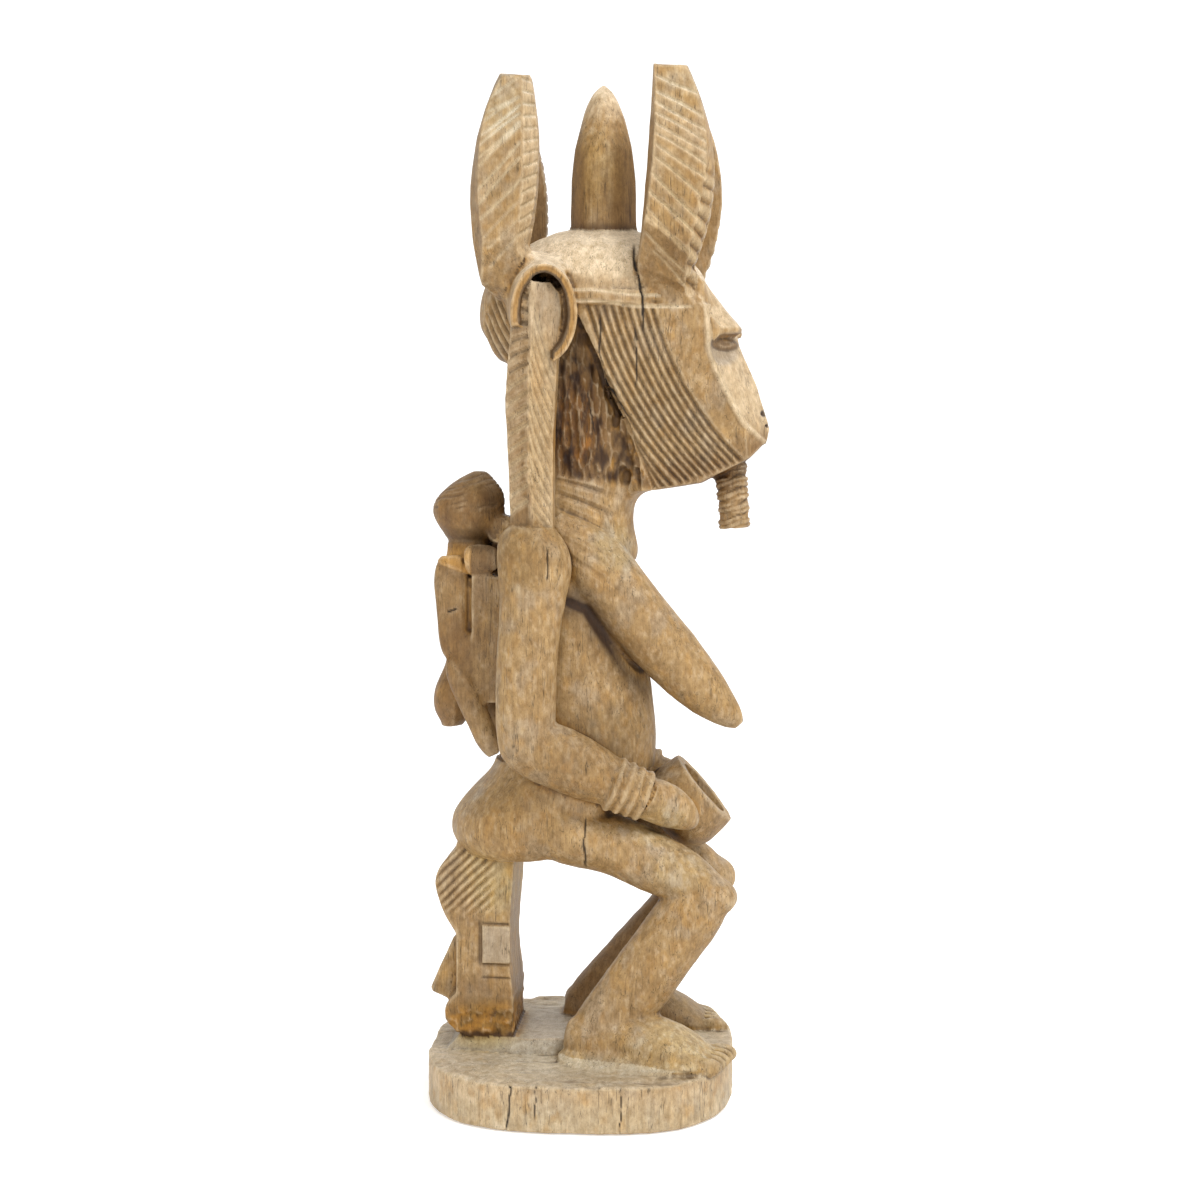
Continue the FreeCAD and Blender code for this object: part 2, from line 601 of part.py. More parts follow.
def make_crests():
    """Each crest's foot runs in to the head, so that its outer face ends higher than its inner one."""
    front = [(95, 708), (112, 752), (120, 800), (113, 854), (97, 898), (67, 900), (60, 799), (53, 727)]
    face = [(99, 737), (105, 762), (113, 806), (110, 857), (95, 894), (68, 895), (66, 806), (60, 764)]
    inner = raised(front, (88, 700), (53, 700))
    make_crest("right", "front_crest", "0", inner, front, face)
    make_crest("left", "front_crest", "sizes.left_front_crest_ahead", inner, front, face)
    back = [(-82, 710), (-91, 760), (-91, 805), (-80, 860), (-66, 894), (-39, 892), (-34, 789), (-53, 714)]
    face = [(-79, 745), (-82, 772), (-83, 808), (-77, 854), (-62, 888), (-44, 888), (-44, 795), (-47, 750)]
    make_crest("right", "back_crest", "0", raised(back, (-71, 700), (-55, 700)), back, face)
    back = [(-82, 710), (-92, 760), (-93, 805), (-86, 850), (-74, 884), (-58, 884), (-38, 800), (-53, 714)]
    face = [(-79, 745), (-83, 772), (-85, 808), (-80, 848), (-72, 878), (-60, 878), (-47, 805), (-48, 750)]
    make_crest("left", "back_crest", "0", raised(back, (-71, 700), (-55, 700)), back, face)


def make_horn():
    radius, height = value("horn_radius"), value("horn_height")
    blank = turned("HornBlank",
                   [(0, 0), (radius, 0), (0.99 * radius, 0.2 * height), (0.93 * radius, 0.47 * height),
                    (0.62 * radius, 0.78 * height), (0.25 * radius, 0.95 * height), (0, height)],
                   [0, 1, 6], ["sizes.horn_x", "0", "sizes.horn_base"])
    fitted("centre_horn", blank, "cap")


# ---------------------------------------------------------------- child

def make_child():
    """A child on the woman's back, wrapped to her with a cloth, its arms and legs round her sides."""
    cloth = block("BackClothBlank", ["sizes.cloth_back", "-sizes.cloth_width / 2", "sizes.cloth_foot_z"],
                  ["sizes.cloth_front - sizes.cloth_back", "sizes.cloth_width", "sizes.cloth_height"])
    fitted("back_cloth", cloth, "torso", "right_upper_arm", "left_upper_arm")
    body = stack("ChildBodyBlank", "cloth_foot_z", "child_width", "child_width",
                 [(-25, -119, 0.36, 0.5), (-13, -117, 0.6, 0.86), (10, -113, 0.76, 1), (37, -106, 0.64, 0.9),
                  (75, -107, 0.78, 0.86), (112, -106, 0.78, 0.9), (138, -102, 0.74, 0.8),
                  (156, -99, 0.7, 0.76)], broad=True)
    fitted("child_body", body, "back_cloth", "torso", "pelvis")
    head = stack("ChildHeadBlank", "child_head_z", "child_head_length", "child_head_width",
                 [(0, -98, 0.5, 0.5), (7, -100, 0.82, 0.84), (18, -102, 0.98, 0.98), (32, -103, 1.02, 1),
                  (44, -100, 0.88, 0.86), (54, -97, 0.58, 0.6), (60, -95, 0.34, 0.34), (63, -94, 0.14, 0.14)])
    fitted("child_head", head, "child_body", "torso", "neck")
    limbs = {
        "child_arm": ((-115, 468), (-111, 386), 16, 9, -1, -4, "back_cloth"),
        "child_hand": ((-98, 470), (-72, 473), 14, 8, -6, -12, "right_upper_arm"),
        "child_leg": ((-110, 378), (-76, 302), 12.5, 11, -5, -12, "right_child_arm"),
    }
    for name, (start, end, deep, wide, out_start, out_end, extra) in limbs.items():
        first = Vector(start[0], value("child_arm_y") + out_start, start[1])
        last = Vector(end[0], value("child_arm_y") + out_end, end[1])
        along = (last - first).normalize()
        rings = []
        for number, (share, size) in enumerate(((-0.08, 0.5), (0.05, 0.9), (0.3, 1), (0.65, 0.9),
                                                (0.95, 0.7), (1.04, 0.4))):
            spot = first + (last - first) * share
            rings.append(oval(f"{name_of(name)}Ring{number}", [f"{c:.3f}" for c in spot], along,
                              f"{deep * size:.3f}", f"{wide * size:.3f}", False))
        neighbours = ["child_body", "child_head", "back_cloth", "torso", "pelvis", "right_upper_arm", "neck",
                      "right_braid"]
        if extra not in neighbours:
            neighbours.append(extra)
        fitted("right_" + name, loft(name_of(name) + "Blank", rings), *neighbours)
        mirrored(name)


# ---------------------------------------------------------------- build, check, write

make_base()
make_pelvis()
make_stool()
make_leg("right")
make_leg("left")
make_trunk()
make_face()
make_neck()
make_breast("right")
make_breast("left")
make_arms()
make_bowl()
make_scalp()
make_face_trim()
make_braids()
make_crests()
make_horn()
make_child()
doc.recompute()

for obj in doc.Objects:
    if "Invalid" in obj.State or "Error" in obj.State:
        raise RuntimeError(f"{obj.Name} failed: {obj.State}")
for label, node in nodes.items():
    if node.Shape.isNull() or not node.Shape.isValid() or not node.Shape.Solids:
        raise RuntimeError(f"{label} has no valid solid")

os.makedirs(OUT_DIR, exist_ok=True)
for label, node in nodes.items():
    node.Shape.exportStep(f"{OUT_DIR}/{label}.step")
    box = node.Shape.BoundBox
    print(f"{label:18s} solids {len(node.Shape.Solids)}  volume {node.Shape.Volume:10.0f}  "
          f"x {box.XMin:.0f}..{box.XMax:.0f}  y {box.YMin:.0f}..{box.YMax:.0f}  "
          f"z {box.ZMin:.0f}..{box.ZMax:.0f}")
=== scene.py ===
import json
import math

import bpy
import numpy as np
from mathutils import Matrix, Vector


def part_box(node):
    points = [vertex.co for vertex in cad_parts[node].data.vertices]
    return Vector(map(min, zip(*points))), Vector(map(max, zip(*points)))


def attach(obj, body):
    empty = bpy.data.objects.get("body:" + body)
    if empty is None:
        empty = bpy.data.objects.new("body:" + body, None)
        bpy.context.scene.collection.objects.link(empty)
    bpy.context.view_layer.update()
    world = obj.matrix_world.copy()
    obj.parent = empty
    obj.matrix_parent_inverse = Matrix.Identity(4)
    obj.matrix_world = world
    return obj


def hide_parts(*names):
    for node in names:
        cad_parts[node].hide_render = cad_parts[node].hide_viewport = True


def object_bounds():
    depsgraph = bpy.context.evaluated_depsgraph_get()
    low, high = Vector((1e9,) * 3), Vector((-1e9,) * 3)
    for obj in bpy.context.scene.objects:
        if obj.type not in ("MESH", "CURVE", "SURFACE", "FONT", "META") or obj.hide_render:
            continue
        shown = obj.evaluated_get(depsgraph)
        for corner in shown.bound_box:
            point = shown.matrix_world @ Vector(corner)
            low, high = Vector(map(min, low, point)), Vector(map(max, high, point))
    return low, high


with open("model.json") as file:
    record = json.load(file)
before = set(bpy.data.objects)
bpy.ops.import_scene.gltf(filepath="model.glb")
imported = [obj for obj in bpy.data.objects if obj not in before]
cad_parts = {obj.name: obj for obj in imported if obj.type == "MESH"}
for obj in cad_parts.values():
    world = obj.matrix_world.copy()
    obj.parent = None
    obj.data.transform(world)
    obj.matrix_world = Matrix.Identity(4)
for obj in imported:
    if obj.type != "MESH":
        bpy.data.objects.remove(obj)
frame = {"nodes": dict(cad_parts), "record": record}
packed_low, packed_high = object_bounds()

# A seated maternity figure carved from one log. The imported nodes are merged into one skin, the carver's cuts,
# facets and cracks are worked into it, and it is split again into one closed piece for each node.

import openvdb
from mathutils import Vector

MM = 0.001
VOXEL = 1.2   # mm, the spacing of the skin's points
COARSE = 2 * VOXEL                   # mm, the grid for wide fillets and for how hidden a place is
BAND = 6.0                           # mm of distance kept on both sides of each node
REACH = 17.0                         # mm of distance kept on the coarse grid
FILLET = 1.5                         # mm, the radius left in the corners between two forms
WIDE = 13.0                          # mm, the radius where two forms run into one
LIP = 2.4                            # mm, how far a piece turns in under its neighbours
CORNERS = [np.array([i, j, k]) for i in (0, 1) for j in (0, 1) for k in (0, 1)]   # of a lattice cell
NAMES = sorted(frame["nodes"])
SLOTS = {row["node"]: row["material_slot"] for row in frame["record"]["subparts"]}

# Where forms run into one: the middle and the half size of each place in mm, on both sides of the figure.
BLENDS = {
    "chest": ((27, 56, 497), (36, 38, 50)),
    "throat": ((58, 0, 536), (32, 90, 30)),
    "under the jaw": ((44, 40, 574), (26, 54, 40)),
    "cheek and neck": ((28, 58, 612), (36, 22, 60)),
    "forehead": ((108, 30, 712), (18, 50, 24)),
    "front crest foot": ((78, 58, 710), (30, 28, 24)),
    "front crest and brow": ((98, 48, 708), (32, 44, 30)),
    "back crest foot": ((-66, 56, 712), (26, 26, 26)),
    "back crest and hood": ((-52, 62, 736), (24, 34, 26)),
    "hood": ((-24, 60, 730), (34, 34, 26)),
    "horn foot": ((20, 0, 766), (48, 44, 14)),
    "hip": ((-4, 50, 262), (50, 34, 40)),
    "seat": ((-40, 52, 214), (70, 40, 10)),
    "child's neck": ((-72, 10, 497), (22, 50, 22)),
    "child's hip": ((-98, 34, 388), (18, 26, 30)),
    "foot": ((56, 70, 46), (124, 62, 15)),
}

# Where the wood is lighter, darker or warmer: the middle and the half size of each place in mm, and the share
# of red, green and blue light that it sends back there. Part of this is the wood's own tone and part is painted
# light: painted shade under the jaw, in the recess and on the belly and the forearm, and painted highlights on
# faces that turn up, such as the chest, the thigh top, above the knee, the foot, the tail and the base top.
TONES_AND_PAINTED_LIGHT = {
    "back crest tip": ((-62, 70, 862), (32, 32, 46), (1.12, 1.26, 1.45)),
    "front crest tip": ((92, 70, 872), (32, 32, 40), (1.08, 1.14, 1.2)),
    "front crest": ((88, 70, 775), (42, 34, 90), (0.84, 0.79, 0.66)),
    "back crest": ((-62, 70, 792), (36, 34, 66), (0.85, 0.83, 0.77)),
    "horn": ((17, 0, 810), (50, 50, 66), (1.22, 1.24, 1.05)),
    "jaw": ((104, 30, 545), (62, 60, 26), (0.66, 0.58, 0.47)),
    "recess": ((-4, 40, 590), (34, 50, 66), (0.74, 0.6, 0.33)),
    "shoulder": ((-45, 88, 480), (40, 40, 50), (0.82, 0.79, 0.7)),
    "forearm": ((6, 88, 300), (70, 45, 42), (0.78, 0.75, 0.7)),
    "belly": ((22, 40, 320), (50, 46, 40), (0.74, 0.72, 0.66)),
    "child's head": ((-105, 0, 515), (46, 46, 42), (0.74, 0.6, 0.38)),
    "child's body": ((-118, 0, 380), (44, 64, 90), (0.84, 0.72, 0.5)),
    "foot": ((92, 65, 58), (72, 60, 34), (1.18, 1.3, 1.4)),
    "post": ((-72, 30, 196), (40, 50, 50), (1.22, 1.28, 1.14)),
    "post foot": ((-85, 30, 62), (50, 50, 30), (0.9, 0.8, 0.46)),
    "base top": ((0, 0, 42), (200, 200, 13), (1.03, 1.12, 1.2)),
    "base side": ((0, 0, 8), (220, 220, 36), (0.94, 1.02, 1.1)),
    "braid": ((-36, 92, 585), (28, 36, 110), (0.9, 0.84, 0.72)),
    "chin": ((142, 0, 570), (36, 50, 26), (0.6, 0.52, 0.42)),
    "tail": ((-122, 0, 105), (25, 22, 40), (1.28, 1.28, 1.2)),
    "hip": ((-50, 70, 255), (60, 40, 46), (0.9, 0.86, 0.76)),
    "thigh top": ((72, 62, 245), (34, 40, 26), (1.1, 1.22, 1.36)),
    "chest": ((36, 44, 484), (34, 44, 32), (1.1, 1.22, 1.36)),
    "above the knee": ((88, 66, 206), (36, 36, 26), (1.05, 1.14, 1.26)),
    "stool roll": ((-113, 0, 196), (30, 40, 36), (0.94, 0.86, 0.72)),
    "recess edge": ((-4, 50, 590), (40, 60, 60), (0.92, 0.86, 0.74)),
}

# The camera looks level at an upright axis through the figure, from a little to its right.
AXIS_X = 0.01575                     # m, where that axis stands on X
DISTANCE = 1.62                      # m, from the axis to the camera
TURN = math.radians(4.5)             # how far the camera stands round the axis
EYE_HEIGHT = 0.5378                  # m
SENSOR, LENS = 36.0, 54.0            # mm
SHIFT = -0.0963                      # the lens's upright shift, in sensor widths
AIM = Vector((0, 0, 0.45))           # m, where the lamps point


# ---- the skin ----

def node_mesh(name):
    """The points of a node in mm, and its triangles."""
    mesh = frame["nodes"][name].data
    points = np.empty(len(mesh.vertices) * 3, np.float32)
    mesh.vertices.foreach_get("co", points)
    mesh.calc_loop_triangles()
    corners = np.empty(len(mesh.loop_triangles) * 3, np.int32)
    mesh.loop_triangles.foreach_get("vertices", corners)
    return points.reshape(-1, 3) / MM, corners.reshape(-1, 3).astype(np.uint32)


def distances_to(points, voxel, band, **faces):
    """The distances to a closed surface on a lattice, and the index of the lattice's first cell."""
    grid = openvdb.FloatGrid.createLevelSetFromPolygons(
        points, transform=openvdb.createLinearTransform(voxel), exBandWidth=band / voxel,
        inBandWidth=band / voxel, **faces)
    low, high = grid.evalActiveVoxelBoundingBox()
    distances = np.empty([b - a + 1 for a, b in zip(low, high)], np.float32)
    grid.copyToArray(distances, ijk=low)
    return distances, np.array(low)


def union(meshes, voxel, band, first, shape):
    """The distances to the nearest of all the nodes on one lattice, and the number of that node."""
    nearest = np.full(shape, band, np.float32)
    owner = np.full(shape, 255, np.uint8)
    for number, (points, triangles) in enumerate(meshes):
        field, low = distances_to(points, voxel, band, triangles=triangles)
        window = tuple(slice(a, a + n) for a, n in zip(low - first, field.shape))
        closer = field < nearest[window]
        nearest[window][closer] = field[closer]
        owner[window][closer] = number
    return nearest, owner


def surface(field, voxel, first, level):
    """The quads of the surface where field has the value level."""
    grid = openvdb.FloatGrid(float(field.max()))
    grid.transform = openvdb.createLinearTransform(voxel)
    grid.copyFromArray(field, ijk=tuple(int(i) for i in first))
    return grid.convertToQuads(level)


def rounded(field, voxel, first, radius, band):
    """The field with every hollow corner filled to a radius."""
    points, quads = surface(field, voxel, first, radius)
    inside, low = distances_to(points, voxel, band, quads=quads)
    start, stop = np.maximum(low, first), np.minimum(low + inside.shape, first + field.shape)
    result = np.full(field.shape, band, np.float32)
    there, here = (tuple(slice(a, b) for a, b in zip(start - origin, stop - origin))
                   for origin in (first, low))
    result[there] = inside[here] + radius
    return result


def lattice_points(first, shape, voxel):
    """The place of each cell in mm, as three arrays that spread to the lattice's shape."""
    axes = [(np.arange(count) + start) * voxel for start, count in zip(first, shape)]
    return np.meshgrid(*axes, indexing="ij", sparse=True)


def blend_cost(first, shape, voxel):
    """0 inside the places where forms run into one, and more than WIDE well outside them."""
    x, y, z = lattice_points(first, shape, voxel)
    cost = np.full(shape, 2 * WIDE, np.float32)
    for middle, half in BLENDS.values():
        gaps = ((x - middle[0]) / half[0]) ** 2 + ((np.abs(y) - middle[1]) / half[1]) ** 2
        gaps = np.sqrt(gaps + ((z - middle[2]) / half[2]) ** 2)
        cost = np.minimum(cost, 2 * WIDE * np.clip((gaps - 0.6) / 0.5, 0, 1))
    return cost.astype(np.float32)


def finer(field):
    """The same field on a lattice of half the spacing."""
    for axis in range(3):
        field = np.repeat(field, 2, axis)
        field = (field + np.roll(field, -1, axis)) / 2
    return field


def merged_skin():
    """The points and quads of one skin round all the nodes, the number of the node that owns each point, and
    the coarse lattice's first cell and distances."""
    meshes = [node_mesh(name) for name in NAMES]
    low, high = (np.array(corner) / MM for corner in (packed_low, packed_high))
    first = np.floor((low - REACH) / COARSE).astype(int) - 4
    shape = np.ceil((high + REACH) / COARSE).astype(int) + 4 - first
    coarse, coarse_owner = union(meshes, COARSE, REACH, first, shape)
    wide = rounded(coarse, COARSE, first, WIDE, REACH) + blend_cost(first, shape, COARSE)
    nearest, owner = union(meshes, VOXEL, BAND, 2 * first, 2 * shape)
    nearest = np.minimum(nearest, finer(wide))
    points, quads = surface(nearest, VOXEL, 2 * first, FILLET)
    closed, start = distances_to(points, VOXEL, BAND, quads=quads)
    points, quads = surface(closed, VOXEL, start, -FILLET)
    cells = np.clip(np.rint(points / VOXEL).astype(int) - 2 * first, 0, 2 * shape - 1)
    fine = owner[cells[:, 0], cells[:, 1], cells[:, 2]]
    halves = cells // 2
    owners = np.where(fine == 255, coarse_owner[halves[:, 0], halves[:, 1], halves[:, 2]], fine)
    return points.astype(float), quads.astype(np.int64), owners, first, np.minimum(coarse, wide)


def box_mean(field, reach):
    """Each cell's mean over a cube of 2 * reach + 1 cells."""
    for axis in range(3):
        edges = [(reach + 1, reach) if a == axis else (0, 0) for a in range(3)]
        total = np.cumsum(np.pad(field, edges), axis, dtype=np.float64)
        upper = np.take(total, range(2 * reach + 1, total.shape[axis]), axis)
        lower = np.take(total, range(0, total.shape[axis] - 2 * reach - 1), axis)
        field = (upper - lower) / (2 * reach + 1)
    return field


def sampled(field, first, points):
    """The coarse field's values at points in mm."""
    scaled = points / COARSE - first
    cell = np.clip(np.floor(scaled).astype(int), 0, np.array(field.shape) - 2)
    share = scaled - cell
    total = np.zeros(len(points))
    for corner in CORNERS:
        i, j, k = (cell + corner).T
        total += np.prod(np.where(corner, share, 1 - share), axis=1) * field[i, j, k]
    return total


def point_normals(points, quads):
    """Unit normals, each weighted by the areas of the faces around its point."""
    one, other = points[quads[:, 2]] - points[quads[:, 0]], points[quads[:, 3]] - points[quads[:, 1]]
    across = np.cross(one, other)
    normals = np.zeros_like(points)
    for corner in range(4):
        for axis in range(3):
            normals[:, axis] += np.bincount(quads[:, corner], across[:, axis], len(points))
    return normals / np.maximum(np.linalg.norm(normals, axis=1, keepdims=True), 1e-9)


# ---- numbers from space ----

def hashed(cells, seed):
    """A number from 0 to 1 for each cell of a lattice, random to look at and the same at every run."""
    x, y, z = (cells[:, axis].astype(np.uint32) for axis in range(3))
    mixed = x * np.uint32(73856093) ^ y * np.uint32(19349663) ^ z * np.uint32(83492791)
    mixed ^= np.uint32(seed * 668265263 % 4294967296)
    mixed = (mixed ^ mixed >> np.uint32(13)) * np.uint32(1274126177)
    mixed = (mixed ^ mixed >> np.uint32(15)) * np.uint32(2246822519)
    return (mixed ^ mixed >> np.uint32(16)) / 4294967296.0


def noise(points, size, seed):
    """Smooth noise from -1 to 1 with blobs about size mm across; size may have three values."""
    scaled = points / np.asarray(size, float)
    cell = np.floor(scaled)
    share = scaled - cell
    share = share * share * (3 - 2 * share)
    cell = cell.astype(np.int64)
    total = np.zeros(len(points))
    for corner in CORNERS:
        total += np.prod(np.where(corner, share, 1 - share), axis=1) * hashed(cell + corner, seed)
    return 2 * total - 1


def rough(points, size, seed, octaves=3):
    """Noise with finer noise on top of it."""
    size = np.asarray(size, float)
    return sum(0.55 ** n * noise(points, size * 0.5 ** n, seed + n) for n in range(octaves)) / 1.5


def scoops(points, size, seed):
    """0 in the middle of each gouge mark and about 1 where marks meet."""
    scaled = points / np.asarray(size, float)
    cell = np.floor(scaled - 0.5).astype(np.int64)
    nearest = np.full(len(points), 9.0)
    for corner in CORNERS:
        gap = cell + corner + 0.5 - scaled
        for axis in range(3):
            gap[:, axis] += 0.7 * (hashed(cell + corner, seed + axis) - 0.5)
        nearest = np.minimum(nearest, (gap * gap).sum(axis=1))
    return np.clip(np.sqrt(nearest) / 0.85, 0, 1)


def smooth(low, high, value):
    """0 at low and 1 at high, with a soft start and end; low may be the larger of the two."""
    share = np.clip((value - low) / (high - low), 0, 1)
    return share * share * (3 - 2 * share)


def near_path(u, v, path):
    """The distance from each point to a path, and the share of its length at the nearest place on it."""
    path = np.asarray(path, float)
    steps = np.diff(path, axis=0)
    lengths = np.hypot(steps[:, 0], steps[:, 1])
    gap, share, done = np.full(len(u), np.inf), np.zeros(len(u)), 0.0
    for start, step, length in zip(path, steps, lengths):
        t = np.clip(((u - start[0]) * step[0] + (v - start[1]) * step[1]) / length ** 2, 0, 1)
        here = np.hypot(u - start[0] - t * step[0], v - start[1] - t * step[1])
        closer = here < gap
        gap[closer] = here[closer]
        share[closer] = (done + t[closer] * length) / lengths.sum()
        done += length
    return gap, share


def bowed(start, end, bow, count=7):
    """A path from start to end that bulges by bow to its left."""
    start, end = np.array(start, float), np.array(end, float)
    step = end - start
    side = np.array([-step[1], step[0]]) / np.hypot(*step)
    return [start + step * t + side * bow * 4 * t * (1 - t) for t in np.linspace(0, 1, count)]


# ---- the carving ----

# Places are in mm: x forwards, y outwards to either side of the figure, and z up from the ground. A place
# that has to stay with a node's edge is worked out from the node's box.

class Part:
    """The points of some nodes: where they are in the skin, their place and their normal, with y outwards."""

    def __init__(self, *names):
        self.where = np.flatnonzero(np.isin(OWNER, [NAMES.index(name) for name in names]))
        side = np.where(POINTS[self.where, 1] < 0, -1, 1)
        self.x, self.y, self.z = POINTS[self.where].T
        self.nx, self.ny, self.nz = NORMALS[self.where].T
        self.near = side < 0
        self.y = self.y * side
        self.ny = self.ny * side

    def cut(self, path, half, deep, weight=1.0, u=None, v=None, ends=0.12, fresh=0.0, dark=0.0):
        """A knife cut along a path seen square to one axis: half its width and its depth in mm."""
        u = self.x if u is None else u
        v = self.z if v is None else v
        gap, share = near_path(u, v, path)
        taper = np.clip(np.minimum(share, 1 - share) / max(ends, 1e-6), 0, 1) ** 0.6
        shape = np.clip(1 - gap / half, 0, 1) * taper * weight
        self.lower(deep * shape)
        if fresh:
            self.tint("fresh", fresh * np.clip(1.6 * shape, 0, 1))
        # dark paints the cut darker: stain, and painted shade in its hollow.
        if dark:
            self.tint("stain_and_shade", dark * shape)

    def lower(self, amount):
        """Cuts the surface to this many mm deep, where it isn't deeper already."""
        DEPTH[self.where] = np.maximum(DEPTH[self.where], amount)

    def raise_by(self, amount):
        """Adds this many mm of wood."""
        RELIEF[self.where] += amount

    def tint(self, name, amount):
        """Mixes in this much of one of WOODS, where there isn't more of it already."""
        TINTS[name][self.where] = np.maximum(TINTS[name][self.where], amount)


def both(name):
    """The names of the right and the left node of a pair."""
    return ["right_" + name, "left_" + name]


POINTS, QUADS, OWNER, FIRST, COARSE_FIELD = merged_skin()
NORMALS = point_normals(POINTS, QUADS)

# How much wood stands in the air close in front of each point, as in a corner, and in a wider space round it.
SOLID = np.clip(0.5 - COARSE_FIELD / COARSE, 0, 1)
TIGHT = smooth(0.16, 0.5, sampled(box_mean(SOLID, 2), FIRST, POINTS + 4.0 * NORMALS))
HIDDEN = smooth(0.3, 0.68, sampled(box_mean(SOLID, 6), FIRST, POINTS + 7.0 * NORMALS))

# What the carving does to each point: how deep it is cut and how far it is raised, in mm, and its tints, some
# of them painted shade and painted highlights. They are laid over the plain wood in the order of MIXED.
MIXED = ("pale", "grey", "brown", "ochre", "fresh", "stain_and_shade", "crack")
DEPTH = np.zeros(len(POINTS))
RELIEF = np.zeros(len(POINTS))
TINTS = {name: np.zeros(len(POINTS)) for name in MIXED}
BOXES = {name: [np.array(corner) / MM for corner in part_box(name)] for name in NAMES}


def carve_front_crests():
    """Slanting cuts on the outer face, painted shade on the bevel behind it and a scalloped edge in front."""
    crest = Part(*both("front_crest"))
    face = smooth(0.55, 0.85, crest.ny)
    low, high = BOXES["right_front_crest"]
    tall = high[2] - low[2]
    shift = np.where(crest.near, 0, BOXES["left_front_crest"][0][0] - low[0])
    # Each cut's height as a share of the crest's, its slope, and how many mm from the crest's back it starts
    # and ends.
    cuts = [(0.93, 0.44, 17, 54), (0.864, 0.56, 16, 62), (0.82, 0.57, 16, 64), (0.773, 0.6, 16, 66),
            (0.729, 0.56, 16, 66), (0.688, 0.64, 16, 64), (0.64, 0.67, 16, 64), (0.59, 0.88, 15, 59),
            (0.519, 1.0, 13, 58), (0.44, 0.94, 10, 54), (0.38, 1.12, 8, 50), (0.336, 0.94, 8, 40),
            (0.27, 1.0, 7, 42), (0.193, 1.13, 14, 43)]
    for number, (share, slope, start, end) in enumerate(cuts):
        height = low[2] + share * tall
        fall = slope * (end - start)
        path = bowed((low[0] + start, height), (low[0] + end, height - fall), (-0.8, 1.2)[number % 2])
        upper = share > 0.4
        crest.cut(path, 2.1 if upper else 1.8, 1.7 if upper else 1.1, face, u=crest.x - shift, ends=0.06,
                  fresh=1.0 if upper else 0.6)
    edge = smooth(0.15, 0.6, crest.nx) * smooth(-0.4, 0.1, crest.ny)
    share = (crest.z - low[2]) / tall
    scallops = (crest.z - low[2] + 0.5 * crest.x) / 15.0
    wave = np.abs(np.sin(np.pi * scallops + noise(POINTS[crest.where], 30, 33)))
    lower = smooth(0.58, 0.45, share)
    crest.lower(2.2 * edge * (1 - wave) * lower)
    crest.tint("fresh", 0.55 * edge * lower * smooth(0.3, 0.8, wave))
    # Painted shade: the narrow bevel behind the outer face is darker.
    bevel = smooth(-0.12, -0.35, crest.nx) * smooth(0.1, 0.4, crest.ny)
    crest.tint("brown", 0.65 * bevel * smooth(0.95, 0.6, share))


def carve_back_crests():
    """Cuts that rise forwards on the outer face, and short ones on the pale bevel in front of it; the face
    behind and the whole far crest are darker, as painted shade.
    """
    crest = Part(*both("back_crest"))
    low, high = BOXES["right_back_crest"]
    tall = high[2] - low[2]
    face = smooth(0.72, 0.9, crest.ny)
    # Each row says what a row says for the front crests.
    cuts = [(0.84, 0.7, 12, 46), (0.80, 0.45, 12, 46), (0.755, 0.66, 11, 47), (0.70, 0.75, 10, 47),
            (0.652, 0.77, 8, 47), (0.6, 0.85, 8, 47), (0.56, 0.96, 8, 47), (0.46, 1.1, 8, 47),
            (0.39, 1.1, 8, 47), (0.33, 0.96, 10, 48), (0.25, 1.0, 14, 49), (0.205, 0.93, 17, 52),
            (0.125, 0.98, 18, 54)]
    for number, (share, slope, start, end) in enumerate(cuts):
        height = low[2] + share * tall
        lift = slope * (end - start)
        path = bowed((low[0] + start, height), (low[0] + end, height + lift), (0.8, -1.0)[number % 2])
        strong = 0.3 < share < 0.75
        crest.cut(path, 2.0, 1.6 if strong else 1.0, face, ends=0.06, fresh=1.0 if strong else 0.55)
    bevel = smooth(0.22, 0.42, crest.nx) * smooth(-0.2, 0.2, crest.ny)
    for number in range(13):
        height = high[2] - 10 - 11.6 * number
        slope = 0.12 + 0.07 * number
        path = [(low[0] + 38, height), (low[0] + 68, height + slope * 30)]
        crest.cut(path, 1.9, 1.8, bevel, ends=0.0, fresh=1.0)
    # Painted shade on the face behind the crest and over all of the far crest.
    behind = smooth(-0.2, -0.45, crest.nx) * smooth(-0.2, 0.2, crest.ny)
    crest.tint("brown", 0.35 * behind)
    crest.tint("pale", 0.35 * bevel * crest.near)
    crest.tint("brown", 0.75 * (1 - crest.near))


